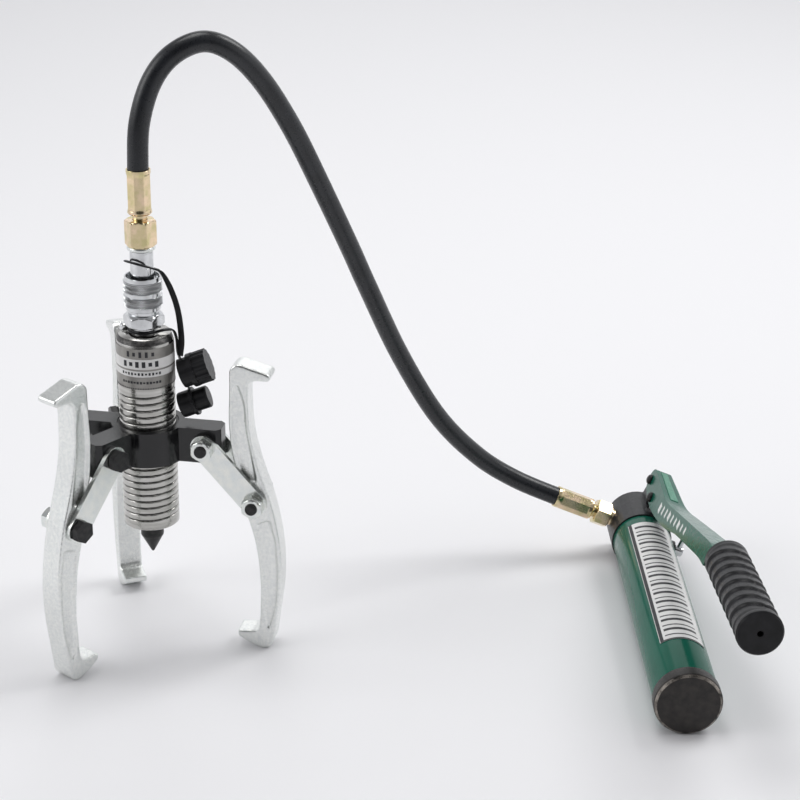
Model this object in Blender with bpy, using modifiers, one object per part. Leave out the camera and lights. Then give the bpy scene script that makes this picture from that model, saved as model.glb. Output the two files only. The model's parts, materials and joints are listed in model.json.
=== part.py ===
"""Hydraulic gear puller with three reversible jaws, driven by a separate hand pump through a hose.

A threaded cylinder carries a four-lug yoke. Three of the lugs hold a jaw each, on a pair of link
plates. A quick coupler on the cylinder takes the hose, which runs to the head of the hand pump.
"""
import math

import bmesh
import bpy
from mathutils import Vector

for old in list(bpy.data.objects):
    bpy.data.objects.remove(old, do_unlink=True)

# Lengths are in millimetres, measured from the floor under the puller's axis. MM turns them to metres.
MM = 0.001
GAP = 0.3                               # space kept between two pieces that touch
PULLER_X, PULLER_Y = -214.66, 13.5      # puller axis, from the middle of the whole outfit's footprint

# Cylinder
BARREL_R, BARREL_BORE_R = 24.0, 15.0
BARREL_BOTTOM, BARREL_TOP = 112.0, 286.5
GLAND_TOP, BORE_TOP = 126.0, 262.0
PORT_R, PORT_FLOOR = 8.3, 268.0
ROD_R, TIP_R, TIP_SHOULDER, TIP_POINT = 9.7, 10.0, 98.5, 81.0
PISTON_BOTTOM, PISTON_TOP = 240.0, 258.0
SPRING_TURNS, SPRING_R, SPRING_WIRE = 8, 12.6, 1.2

# Quick coupler and hose end
HEX_AF, HEX_BOTTOM, HEX_TOP = 30.0, 293.0, 304.0
SLEEVE_BOTTOM, SLEEVE_TOP = 307.7, 336.5
STEM_R, STEM_TOP = 9.75, 358.7
WASHER_TOP, HOSE_NUT_TOP = 362.7, 385.0
HOSE_R = 8.75
FERRULE_R, FERRULE_NECK, FERRULE_LENGTH = 10.15, 10.0, 47.5
FERRULE_BASE = 380.0

# Yoke, links and jaws, each in its arm's own radius and height
YOKE_BOTTOM, YOKE_TOP, YOKE_R, YOKE_BORE_R = 175.0, 206.0, 31.5, 26.3
LUG_END, LUG_HALF, LUG_CHAMFER = 66.0, 10.7, 4.0
ARM_AZIMUTHS = {"right": 350.5, "left": 230.5, "back": 110.5}
SPARE_LUG_AZIMUTH = 170.5
YOKE_PIVOT = (51.7, 190.7)              # radius, height
JAW_PIVOT = (94.8, 141.3)
LINK_END_R, LINK_THICK = 11.0, 4.0
BOLT_R, BOLT_HOLE_R, BOLT_AF = 5.0, 5.3, 17.0
JAW_HALF, JAW_POCKET = 10.7, 4.6

# Hand pump, laid on its side: x to its right, y from its end cap to its head, z to the handle
PUMP_AT = (453.3, -158.6, 28.5)
PUMP_YAW, PUMP_ROLL = math.radians(1.3), math.radians(22.0)
HEAD_R, TUBE_R, TUBE_WALL = 28.5, 27.2, 2.7
CAP_LENGTH, HEAD_FROM, HEAD_TO = 13.0, 294.0, 346.0
SPIGOT_R = TUBE_R - TUBE_WALL - GAP
PORT_Y, PLUNGER_Y, PIVOT_Y, PIVOT_Z, DRIVE_Z = 324.5, 303.5, 330.5, 48.0, 41.5
HANDLE_HALF, HANDLE_WALL, HANDLE_FLARE = 9.0, 1.9, 0.0265   # half width at the pivot, flare to the grip
GRIP_FROM, GRIP_TO = (79.0, 99.0), (-56.0, 106.0)   # y, z of the grip's two ends
GRIP_R = 18.5
BAR_R, BAR_X = 2.4, 39.5                # cross bar of the release valve

# Hose route from the cylinder's ferrule to the pump's ferrule
HOSE_ROUTE = [(0, 0, 397), (0, 0, 432), (2.5, 1.5, 466), (12.8, 6.6, 498), (30, 12, 519), (54, 19, 528),
              (77, 26, 518), (99, 37, 492), (121, 52, 451), (141, 70, 403), (168, 95, 334), (184, 108, 292),
              (214, 132, 217), (250, 150, 149), (288, 160, 105), (325, 164, 79)]

COLOURS = {                             # base colour, roughness, metallic
    "steel": ((0.50, 0.50, 0.48), 0.32, 1.0), "bright_steel": ((0.66, 0.67, 0.68), 0.25, 1.0),
    "zinc": ((0.58, 0.61, 0.61), 0.36, 1.0), "yellow_zinc": ((0.62, 0.48, 0.22), 0.28, 1.0),
    "black_steel": ((0.03, 0.03, 0.032), 0.38, 0.6), "black_paint": ((0.012, 0.012, 0.014), 0.3, 0.0),
    "green_paint": ((0.012, 0.17, 0.10), 0.28, 0.0), "rubber": ((0.012, 0.012, 0.013), 0.45, 0.0),
    "label": ((0.75, 0.75, 0.74), 0.45, 0.0), "seal": ((0.05, 0.05, 0.05), 0.6, 0.0),
}

parts = bpy.data.collections.new("hydraulic_gear_puller")
bpy.context.scene.collection.children.link(parts)


# ---- helpers ---------------------------------------------------------------------------------------
def material(name):
    """Principled material for a finish, made once."""
    found = bpy.data.materials.get(name)
    if found:
        return found
    colour, roughness, metallic = COLOURS[name]
    made = bpy.data.materials.new(name)
    made.use_nodes = True
    shader = made.node_tree.nodes["Principled BSDF"]
    shader.inputs["Base Color"].default_value = (*colour, 1.0)
    shader.inputs["Roughness"].default_value = roughness
    shader.inputs["Metallic"].default_value = metallic
    return made


def add(name, data):
    """New object in the parts collection."""
    obj = bpy.data.objects.new(name, data)
    parts.objects.link(obj)
    return obj


def settle(obj):
    """Turn an object's modifiers or curve into one clean, closed mesh."""
    bpy.context.view_layer.update()
    mesh = bpy.data.meshes.new_from_object(obj.evaluated_get(bpy.context.evaluated_depsgraph_get()))
    work = bmesh.new()
    work.from_mesh(mesh)
    bmesh.ops.remove_doubles(work, verts=work.verts, dist=0.00001)
    bmesh.ops.dissolve_degenerate(work, edges=work.edges, dist=0.000005)
    bmesh.ops.recalc_face_normals(work, faces=work.faces)
    work.to_mesh(mesh)
    work.free()
    name = obj.name
    bpy.data.objects.remove(obj, do_unlink=True)
    mesh.name = name
    mesh.shade_smooth()
    mesh.set_sharp_from_angle(angle=math.radians(32))
    return add(name, mesh)


def finish(obj, finish_name, at=(0, 0, 0), turn=(0, 0, 0), parent=None):
    """Give a piece its material and its place."""
    obj.data.materials.clear()
    obj.data.materials.append(material(finish_name))
    obj.parent = parent
    obj.location = Vector(at) * MM
    obj.rotation_euler = turn
    return obj


def turned(name, profile, steps=24, closed=True):
    """Profile of (radius, height) points turned about Z; an open one starts and ends on the axis."""
    mesh = bpy.data.meshes.new(name)
    edges = [(i, i + 1) for i in range(len(profile) - 1)]
    if closed:
        edges.append((len(profile) - 1, 0))
    mesh.from_pydata([(r * MM, 0, z * MM) for r, z in profile], edges, [])
    obj = add(name, mesh)
    screw = obj.modifiers.new("turn", "SCREW")
    screw.steps = screw.render_steps = steps
    screw.use_merge_vertices = True
    screw.merge_threshold = 0.00001
    return settle(obj)


def rod(name, radius, low, high, sides=20):
    """Solid cylinder, or a prism of few sides, along Z."""
    mesh = bpy.data.meshes.new(name)
    work = bmesh.new()
    bmesh.ops.create_cone(work, cap_ends=True, segments=sides, radius1=radius * MM, radius2=radius * MM,
                          depth=(high - low) * MM)
    bmesh.ops.translate(work, verts=work.verts, vec=(0, 0, (high + low) / 2 * MM))
    work.to_mesh(mesh)
    work.free()
    return add(name, mesh)


def hexagon(name, across_flats, low, high):
    """Hexagonal prism along Z, a corner towards -Y."""
    obj = rod(name, across_flats / 2 / math.cos(math.pi / 6), low, high, sides=6)
    return obj


def block(name, low, high):
    """Box between two corners."""
    mesh = bpy.data.meshes.new(name)
    work = bmesh.new()
    bmesh.ops.create_cube(work, size=1.0)
    bmesh.ops.scale(work, verts=work.verts, vec=[(b - a) * MM for a, b in zip(low, high)])
    bmesh.ops.translate(work, verts=work.verts, vec=[(a + b) / 2 * MM for a, b in zip(low, high)])
    work.to_mesh(mesh)
    work.free()
    return add(name, mesh)


def plate(name, outlines, thick):
    """Flat plate in XY from closed outlines, the first its edge and the rest its holes."""
    curve = bpy.data.curves.new(name, "CURVE")
    curve.dimensions = "2D"
    curve.fill_mode = "BOTH"
    curve.extrude = thick / 2 * MM
    for outline in outlines:
        spline = curve.splines.new("POLY")
        spline.points.add(len(outline) - 1)
        for point, (x, y) in zip(spline.points, outline):
            point.co = (x * MM, y * MM, 0, 1)
        spline.use_cyclic_u = True
    return settle(add(name, curve))


def circle(radius, centre=(0, 0), count=16):
    """Points of a circle."""
    steps = [2 * math.pi * i / count for i in range(count)]
    return [(centre[0] + radius * math.cos(t), centre[1] + radius * math.sin(t)) for t in steps]


def arc(centre, radius, start, end, count):
    """Points of an arc between two angles in degrees."""
    steps = [math.radians(start + (end - start) * i / count) for i in range(count + 1)]
    return [(centre[0] + radius * math.cos(t), centre[1] + radius * math.sin(t)) for t in steps]


def smooth(points, steps, closed=False):
    """Catmull-Rom curve through the points."""
    guide = [Vector(p) for p in points]
    if closed:
        guide = [guide[-1]] + guide + guide[:2]
    else:
        guide = [2 * guide[0] - guide[1]] + guide + [2 * guide[-1] - guide[-2]]
    route = []
    for a, b, c, d in zip(guide, guide[1:], guide[2:], guide[3:]):
        for i in range(steps):
            t = i / steps
            route.append(0.5 * (2 * b + (c - a) * t + (2 * a - 5 * b + 4 * c - d) * t ** 2
                                + (3 * b - a - 3 * c + d) * t ** 3))
    if not closed:
        route.append(guide[-2])
    return [tuple(p) for p in route]


def wire(name, points, radius, resolution=2, half_width=0.0):
    """Round wire, or a flat strap with a half width, along a list of points."""
    curve = bpy.data.curves.new(name, "CURVE")
    curve.dimensions = "3D"
    curve.bevel_depth = radius * MM
    curve.bevel_resolution = resolution
    curve.extrude = half_width * MM
    curve.use_fill_caps = True
    curve.twist_mode = "Z_UP" if half_width else "MINIMUM"
    spline = curve.splines.new("POLY")
    spline.points.add(len(points) - 1)
    for point, place in zip(spline.points, points):
        point.co = (*(Vector(place) * MM), 1)
    return add(name, curve)


def combine(obj, other, how):
    """Join the other solid to this one, or cut it away, and drop it."""
    change = obj.modifiers.new(how, "BOOLEAN")
    change.operation = how
    change.solver = "EXACT"
    change.object = other
    bpy.context.view_layer.update()
    result = settle(obj)
    bpy.data.objects.remove(other, do_unlink=True)
    return result


def moved(obj, at=(0, 0, 0), turn=(0, 0, 0)):
    """Place a cutter or a piece to be joined."""
    obj.location = Vector(at) * MM
    obj.rotation_euler = turn
    return obj


def holder(name, at, turn, parent=None):
    """Empty that carries a group of pieces."""
    empty = bpy.data.objects.new(name, None)
    parts.objects.link(empty)
    empty.parent = parent
    empty.location = Vector(at) * MM
    empty.rotation_euler = turn
    return empty


SIDE_ON = math.pi / 2                   # stands a flat plate upright, and lays an upright rod on its side
puller = holder("puller_axis", (PULLER_X, PULLER_Y, 0), (0, 0, 0))


# ---- cylinder --------------------------------------------------------------------------------------
def cylinder():
    """Barrel, gland, piston, rod, tip, return spring and label."""
    profile = [(22.0, BARREL_TOP), (BARREL_R, 281.5), (BARREL_R, BARREL_BOTTOM + 1.2),
               (BARREL_R - 1.2, BARREL_BOTTOM), (18.3, BARREL_BOTTOM), (18.3, GLAND_TOP),
               (BARREL_BORE_R, GLAND_TOP), (BARREL_BORE_R, BORE_TOP), (3.0, BORE_TOP), (3.0, PORT_FLOOR),
               (PORT_R, PORT_FLOOR), (PORT_R, BARREL_TOP)]
    finish(turned("cylinder_barrel", profile, 36), "steel", parent=puller)
    gland = [(18.0, GLAND_TOP - GAP), (18.0, BARREL_BOTTOM + 0.4), (12.9, BARREL_BOTTOM + 0.4),
             (12.9, 117.0), (ROD_R + GAP, 117.0), (ROD_R + GAP, GLAND_TOP - GAP)]
    finish(turned("gland_nut", gland), "black_steel", parent=puller)
    wiper = [(12.6, 116.7), (12.6, BARREL_BOTTOM + 0.6), (ROD_R + 0.5, BARREL_BOTTOM + 0.6),
             (ROD_R + GAP, 116.7)]
    finish(turned("rod_wiper", wiper), "seal", parent=puller)
    piston = [(14.7, PISTON_TOP), (14.7, 250.5), (12.9, 250.5), (12.9, 246.5), (14.7, 246.5),
              (14.7, PISTON_BOTTOM), (6.3, PISTON_BOTTOM), (6.3, 252.0), (0.0, 252.0)]
    finish(turned("ram_piston", [(0.0, PISTON_TOP)] + piston, closed=False), "black_steel", parent=puller)
    seal = [(14.8, 250.2), (14.8, 246.8), (13.2, 246.8), (13.2, 250.2)]
    finish(turned("piston_seal", seal), "seal", parent=puller)
    shaft = [(0, 251.7), (6.0, 251.7), (6.0, PISTON_BOTTOM - GAP), (ROD_R, PISTON_BOTTOM - GAP),
             (ROD_R, 112.6), (5.3, 112.6), (5.3, 134.0), (0, 134.0)]
    finish(turned("ram_rod", shaft, closed=False), "bright_steel", parent=puller)
    tip = [(0, 133.7), (5.0, 133.7), (5.0, 112.3), (TIP_R - 0.6, 112.3), (TIP_R, 111.7),
           (TIP_R, TIP_SHOULDER), (1.2, TIP_POINT + 0.8), (0, TIP_POINT)]
    finish(turned("ram_tip", tip, closed=False), "black_steel", parent=puller)
    low, high, turns = GLAND_TOP + 2, PISTON_BOTTOM - 2, SPRING_TURNS * 10
    coil = [(SPRING_R * math.cos(2 * math.pi * i / 10), SPRING_R * math.sin(2 * math.pi * i / 10),
             low + (high - low) * i / turns) for i in range(turns + 1)]
    finish(settle(wire("return_spring", coil, SPRING_WIRE, 0)), "steel", parent=puller)
    label = [(BARREL_R + 0.65, 279.5), (BARREL_R + 0.65, 243.5), (BARREL_R + GAP, 243.5),
             (BARREL_R + GAP, 279.5)]
    finish(turned("cylinder_label", label, 36), "label", parent=puller)


# ---- quick coupler ---------------------------------------------------------------------------------
def coupler():
    """Female half with its sliding sleeve, nipple of the hose, washer and bleed screw."""
    body = [(12.9, 332.0), (12.9, HEX_TOP), (11.0, HEX_TOP), (11.0, BARREL_TOP + GAP),
            (8.0, BARREL_TOP + GAP),
            (8.0, PORT_FLOOR + GAP), (3.0, PORT_FLOOR + GAP), (3.0, 306.0), (8.3, 306.0), (8.3, 328.0),
            (10.1, 328.0), (10.1, 332.0)]
    nut = hexagon("hex", HEX_AF, HEX_BOTTOM, HEX_TOP)
    nut = combine(nut, rod("hex_bore", 9.0, HEX_BOTTOM - 5, HEX_TOP + 5), "DIFFERENCE")
    female = combine(turned("coupler_body", body), nut, "UNION")
    finish(female, "bright_steel", parent=puller)
    sleeve = [(15.2, SLEEVE_TOP), (15.4, 333.2), (16.3, 332.9), (16.3, 323.6), (15.3, 323.3), (15.3, 320.4),
              (16.3, 320.1), (16.3, 311.2), (14.6, 310.9), (14.6, SLEEVE_BOTTOM), (13.2, SLEEVE_BOTTOM),
              (13.2, 333.0), (13.9, SLEEVE_TOP)]
    finish(turned("coupler_sleeve", sleeve, 28), "bright_steel", parent=puller)
    nipple = [(7.0, 376.0), (7.0, STEM_TOP), (STEM_R, STEM_TOP), (STEM_R, 328.4), (8.0, 328.4),
              (8.0, 312.0), (3.0, 311.0), (3.0, 376.0)]
    finish(turned("coupler_nipple", nipple), "bright_steel", parent=puller)
    washer = [(11.0, WASHER_TOP), (11.7, 361.5), (11.7, 360.2), (11.0, STEM_TOP + GAP),
              (7.3, STEM_TOP + GAP), (7.3, WASHER_TOP)]
    finish(turned("coupler_washer", washer), "zinc", parent=puller)
    screw = [(0, 292.6), (2.6, 292.6), (4.2, 291.6), (4.2, BARREL_TOP + GAP), (0, BARREL_TOP + GAP)]
    finish(turned("bleed_screw", screw, 14, closed=False), "bright_steel", (-17.3, 5.0, 0), parent=puller)


# ---- hose ends -------------------------------------------------------------------------------------
def hose_nut(name, across_flats, length):
    """Hexagonal swivel nut, its mouth at height 0."""
    nut = hexagon(name, across_flats, 0, length)
    nut = combine(nut, rod("nut_thread", 7.3, -1, length - 5.5), "DIFFERENCE")
    return combine(nut, rod("nut_neck", 6.3, length - 7, length + 1), "DIFFERENCE")


def ferrule(name):
    """Crimped hose ferrule with its tail, the tail's end at height 0."""
    profile = [(FERRULE_R, FERRULE_LENGTH), (FERRULE_R, FERRULE_NECK + 1.0),
               (FERRULE_R - 1.0, FERRULE_NECK),
               (6.0, FERRULE_NECK), (6.0, 0.0), (2.5, 0.0), (2.5, FERRULE_NECK + 3),
               (HOSE_R + GAP, FERRULE_NECK + 3), (HOSE_R + GAP, FERRULE_LENGTH)]
    return turned(name, profile)


# ---- yoke and arms ---------------------------------------------------------------------------------
def yoke():
    """Cast yoke with four lugs, and the threaded bush in its bore."""
    azimuths = sorted([*ARM_AZIMUTHS.values(), SPARE_LUG_AZIMUTH])
    spread = math.degrees(math.asin(LUG_HALF / YOKE_R))
    outline = []
    for here, following in zip(azimuths, azimuths[1:] + [azimuths[0] + 360]):
        along = Vector((math.cos(math.radians(here)), math.sin(math.radians(here))))
        across = Vector((-along.y, along.x))
        for reach, side in ((LUG_END - LUG_CHAMFER, -LUG_HALF), (LUG_END, LUG_CHAMFER - LUG_HALF),
                            (LUG_END, LUG_HALF - LUG_CHAMFER), (LUG_END - LUG_CHAMFER, LUG_HALF)):
            outline.append(tuple(along * reach + across * side))
        rim = arc((0, 0), YOKE_R, here + spread, following - spread, max(3, round((following - here) / 12)))
        outline.extend(rim)
    body = plate("yoke", [outline, circle(YOKE_BORE_R, count=36)], YOKE_TOP - YOKE_BOTTOM)
    for azimuth in azimuths:
        angle = math.radians(azimuth)
        hole = rod("lug_hole", BOLT_HOLE_R, -LUG_HALF - 2, LUG_HALF + 2)
        middle = YOKE_PIVOT[1] - (YOKE_TOP + YOKE_BOTTOM) / 2
        moved(hole, (YOKE_PIVOT[0] * math.cos(angle), YOKE_PIVOT[0] * math.sin(angle), middle),
              (SIDE_ON, 0, angle))
        body = combine(body, hole, "DIFFERENCE")
    finish(body, "black_paint", at=(0, 0, (YOKE_TOP + YOKE_BOTTOM) / 2), parent=puller)
    bush = [(YOKE_BORE_R - GAP, YOKE_TOP - 0.5), (YOKE_BORE_R - GAP, YOKE_BOTTOM + 0.5),
            (BARREL_R + GAP, YOKE_BOTTOM + 0.5), (BARREL_R + GAP, YOKE_TOP - 0.5)]
    finish(turned("yoke_bush", bush, 36), "black_steel", parent=puller)


def link_outline():
    """Stadium from the yoke pivot, at 0, 0, to the jaw pivot."""
    reach = Vector(JAW_PIVOT) - Vector(YOKE_PIVOT)
    slope = math.degrees(math.atan2(reach.y, reach.x))
    outline = arc((0, 0), LINK_END_R, slope + 90, slope + 270, 10)
    outline += arc(tuple(reach), LINK_END_R, slope - 90, slope + 90, 10)
    return [outline, circle(BOLT_HOLE_R), circle(BOLT_HOLE_R, tuple(reach))]


def jaw_outline():
    """Side of a jaw as radius and height: a hook that points in below, and one that points out above."""
    seat = [(77.8, 15.4), (90.5, 16.2)] + arc((90.6, 23.0), 6.8, -70, -8, 4)
    inner = smooth([(98.2, 36), (98.7, 66), (94.8, 103), (84.8, 140), (77.3, 175), (73.6, 211),
                    (74.6, 246)], 3)
    crown = arc((83.2, 258.6), 8.6, 168, 62, 5)
    beak = [(106.4, 260.6)] + arc((106.6, 257.0), 3.2, 60, -88, 4)
    armpit = [(97.5, 253.4)] + arc((97.0, 246.6), 6.8, 100, 172, 4)
    outer = smooth([(89.9, 235), (91.6, 205), (98.0, 176), (109.3, 140), (116.2, 102), (117.0, 66),
                    (112.2, 26)], 3)
    heel = arc((99.8, 10.2), 10.2, -12, -100, 6)
    sole = [(85.5, 5.6)] + arc((81.3, 12.3), 3.6, 222, 168, 3)
    return seat + inner + crown + beak + armpit + outer + heel + sole


def jaw_pockets():
    """Outlines of the two recesses of a jaw's side, as radius and height."""
    lower = [(99.8, 114), (103.6, 92), (104.5, 66), (103.8, 40), (106.0, 22), (109.8, 27), (113.4, 50),
             (114.6, 78), (112.9, 104), (108.6, 123)]
    upper = [(94.0, 166), (89.0, 190), (86.2, 212), (84.8, 236), (77.6, 252), (76.2, 236), (75.9, 212),
             (78.2, 186), (82.2, 166)]
    return lower, upper


def jaw(name):
    """Forged reversible jaw, its bolt hole at 0, 0."""
    hub = Vector(JAW_PIVOT)
    outline = [tuple(Vector(p) - hub) for p in jaw_outline()]
    body = plate(name, [outline, circle(BOLT_HOLE_R)], 2 * JAW_HALF)
    for pocket in jaw_pockets():
        edge = [tuple(Vector(p) - hub) for p in pocket]
        for side in (-1, 1):
            cutter = moved(plate("pocket", [edge], 2 * JAW_POCKET), (0, 0, side * JAW_HALF))
            body = combine(body, cutter, "DIFFERENCE")
    return body


def bolt(name, stack):
    """Hexagon bolt through a stack centred on 0, its head below."""
    shank = rod(name, BOLT_R, -stack - 1.0, stack + 11.5, 16)
    return combine(shank, hexagon("bolt_head", BOLT_AF, -stack - GAP - 6.4, -stack - GAP), "UNION")


def nut(name, stack):
    """Hexagon nut on top of a stack centred on 0."""
    body = hexagon(name, BOLT_AF, stack + GAP, stack + GAP + 8.4)
    return combine(body, rod("nut_bore", BOLT_HOLE_R, stack - 1, stack + 12, 16), "DIFFERENCE")


def arm(side, azimuth):
    """Two links, a jaw and their bolts, on the lug at this azimuth."""
    angle = math.radians(azimuth)
    frame = holder(f"{side}_arm", (0, 0, 0), (0, 0, angle), puller)
    yoke_pivot = (YOKE_PIVOT[0], 0, YOKE_PIVOT[1])
    jaw_pivot = (JAW_PIVOT[0], 0, JAW_PIVOT[1])
    stack = LUG_HALF + GAP + LINK_THICK
    for place, sign in (("nut_side", -1), ("head_side", 1)):
        link = plate(f"{side}_link_{place}", link_outline(), LINK_THICK)
        offset = sign * (LUG_HALF + GAP + LINK_THICK / 2)
        finish(link, "zinc", (yoke_pivot[0], offset, yoke_pivot[2]), (SIDE_ON, 0, 0), frame)
    for pivot, where in ((yoke_pivot, "yoke"), (jaw_pivot, "jaw")):
        finish(bolt(f"{side}_{where}_bolt", stack), "black_steel", pivot, (SIDE_ON, 0, 0), frame)
        finish(nut(f"{side}_{where}_nut", stack), "zinc", pivot, (SIDE_ON, 0, 0), frame)
    finish(jaw(f"{side}_jaw"), "zinc", jaw_pivot, (SIDE_ON, 0, 0), frame)


# ---- hand pump -------------------------------------------------------------------------------------
def pump_body(pump):
    """Head with its ports and bracket, tube, end cap and label."""
    along = (-SIDE_ON, 0, 0)            # a turned piece's height runs from the end cap to the head
    head = [(0, HEAD_TO), (HEAD_R - 2.0, HEAD_TO), (HEAD_R, HEAD_TO - 2.0), (HEAD_R, HEAD_FROM),
            (SPIGOT_R, HEAD_FROM), (SPIGOT_R, HEAD_FROM - 16), (0, HEAD_FROM - 16)]
    body = moved(turned("pump_head", head, 36, closed=False), turn=along)
    bpy.context.view_layer.update()
    tower = [(PIVOT_Y - 13, 20), (PIVOT_Y + 13, 20)] + arc((PIVOT_Y, PIVOT_Z), 8.2, 0, 180, 9)
    solids = [moved(plate("tower", [tower], 11), turn=(SIDE_ON, 0, SIDE_ON)),
              moved(rod("plunger_boss", 8.0, 20, 30.4), (0, PLUNGER_Y, 0))]
    for solid in solids:
        body = keep_turn(body, solid, "UNION", along)
    cuts = [moved(rod("pivot_hole", 3.3, -12, 12), (0, PIVOT_Y, PIVOT_Z), (0, SIDE_ON, 0)),
            moved(rod("plunger_bore", 6.0, 2.3, 40), (0, PLUNGER_Y, 0)),
            moved(rod("hose_port", 8.3, 18, 40), (0, PORT_Y, 0), (0, -SIDE_ON, 0)),
            moved(rod("valve_bore", 3.9, 14, 40), (0, PLUNGER_Y, 0), (0, SIDE_ON, 0))]
    for cutter in cuts:
        body = keep_turn(body, cutter, "DIFFERENCE", along)
    finish(body, "black_paint", turn=along, parent=pump)
    tube = [(TUBE_R, HEAD_FROM - GAP), (TUBE_R, CAP_LENGTH + GAP), (TUBE_R - TUBE_WALL, CAP_LENGTH + GAP),
            (TUBE_R - TUBE_WALL, HEAD_FROM - GAP)]
    finish(turned("pump_tube", tube, 36), "green_paint", turn=along, parent=pump)
    cap = [(0, 27), (SPIGOT_R, 27), (SPIGOT_R, CAP_LENGTH), (HEAD_R, CAP_LENGTH), (HEAD_R, 2.5),
           (HEAD_R - 2.5, 0), (0, 0)]
    finish(turned("pump_end_cap", cap, 36, closed=False), "black_paint", turn=along, parent=pump)
    inner, outer = TUBE_R + GAP, TUBE_R + GAP + 0.35
    wrap = arc((0, 0), outer, 62, 148, 16) + arc((0, 0), inner, 148, 62, 16)
    label = plate("pump_label", [wrap], 218)
    finish(label, "label", at=(0, 170, 0), turn=(SIDE_ON, 0, 0), parent=pump)


def keep_turn(body, other, how, turn):
    """Combine two placed solids and give the result back in the first one's own axes."""
    result = combine(body, other, how)
    result.rotation_euler = turn
    bpy.context.view_layer.update()
    return result


def handle_outline():
    """Side of the handle as y and z: a deep root over the pins, and a neck up to the grip."""
    root = arc((PIVOT_Y + 0.5, PIVOT_Z + 0.5), 12.0, -62, 88, 7)
    top = [(300, 60.5), (262, 61.5), (240, 65.0), (214, 72.0), (150, 89.0), (98, 102.3), (80.4, 104.8)]
    under = [(80.4, 86.5), (104, 82.8), (150, 71.0), (188, 61.0), (216, 51.0), (245, 43.0),
             (285, 35.5), (318, 34.5)]
    return root + top + under


def handle_half(y):
    """Half width of the handle, which flares towards the grip."""
    return HANDLE_HALF + HANDLE_FLARE * (PIVOT_Y - y)


def pump_handle(pump):
    """Channel handle with its pins, grip, and the plunger that it drives."""
    pivot = Vector((PIVOT_Y, PIVOT_Z))
    outline = [tuple(Vector(p) - pivot) for p in handle_outline()]
    body = plate("pump_handle", [outline], 2 * HANDLE_HALF)
    hollow = [(3, 9.0), (-30, 9.6), (-68, 10.8), (-90, 14.2), (-117, 21.0), (-181, 38.0), (-226, 49.4),
              (-226, 20), (-150, -20), (-60, -40), (30, -40), (30, 0)]
    body = combine(body, plate("hollow", [hollow], 2 * (HANDLE_HALF - HANDLE_WALL)), "DIFFERENCE")
    for vertex in body.data.vertices:
        vertex.co.z *= handle_half(PIVOT_Y + vertex.co.x / MM) / HANDLE_HALF
    for y, z in ((0, 0), (PLUNGER_Y - PIVOT_Y, DRIVE_Z - PIVOT_Z)):
        body = combine(body, moved(rod("pin_hole", 3.3, -20, 20), (y, z, 0)), "DIFFERENCE")
    slope = math.atan2(GRIP_TO[1] - GRIP_FROM[1], GRIP_TO[0] - GRIP_FROM[0])
    length = math.dist(GRIP_FROM, GRIP_TO)
    start = Vector(GRIP_FROM) - pivot
    core = moved(rod("grip_core", 8.5, -14, length - 12), (start.x, start.y, 0), (0, SIDE_ON, 0))
    core.rotation_euler = (SIDE_ON, 0, slope + SIDE_ON)
    body = combine(body, core, "UNION")
    side_view = (SIDE_ON, 0, SIDE_ON)
    finish(body, "green_paint", (0, PIVOT_Y, PIVOT_Z), side_view, pump)
    grip = [(GRIP_R + 0.6, length), (GRIP_R + 0.6, length - 5)]
    ribs = 7
    pitch = (length - 15) / ribs
    for i in range(ribs):
        high = length - 5 - i * pitch
        grip += [(GRIP_R - 1.6, high - pitch * 0.25), (GRIP_R + 0.2, high - pitch * 0.8)]
    grip += [(GRIP_R - 0.6, 8), (GRIP_R - 0.6, 0), (8.8, 0), (8.8, length - 11), (2.5, length - 11),
             (2.5, length)]
    tilt = math.atan2(GRIP_TO[1] - GRIP_FROM[1], GRIP_FROM[0] - GRIP_TO[0])
    finish(turned("handle_grip", grip, 20), "rubber", (0, *GRIP_FROM), (SIDE_ON - tilt, 0, 0), pump)
    for name, y, z in (("handle_pivot_pin", PIVOT_Y, PIVOT_Z), ("handle_drive_pin", PLUNGER_Y, DRIVE_Z)):
        edge = handle_half(y - 4.8) + GAP
        pin = [(0, edge + 3.4), (3.0, edge + 3.4), (4.8, edge + 2.2), (4.8, edge), (3.0, edge),
               (3.0, -edge), (4.8, -edge), (4.8, -edge - 2.2), (3.0, -edge - 3.4), (0, -edge - 3.4)]
        finish(turned(name, pin, 16, closed=False), "black_steel", (0, y, z), (0, SIDE_ON, 0), pump)
    plunger = rod("pump_plunger", 5.7, 7, 38, 24)
    plunger = combine(plunger, block("eye", (-5, -8.6, 34.5), (5, 8.6, 49)), "UNION")
    slot = arc((-2.2, DRIVE_Z), 3.4, 90, 270, 6) + arc((2.2, DRIVE_Z), 3.4, -90, 90, 6)
    cutter = moved(plate("slot", [slot], 14), turn=side_view)
    plunger = combine(plunger, cutter, "DIFFERENCE")
    finish(plunger, "bright_steel", at=(0, PLUNGER_Y, 0), parent=pump)


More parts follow.
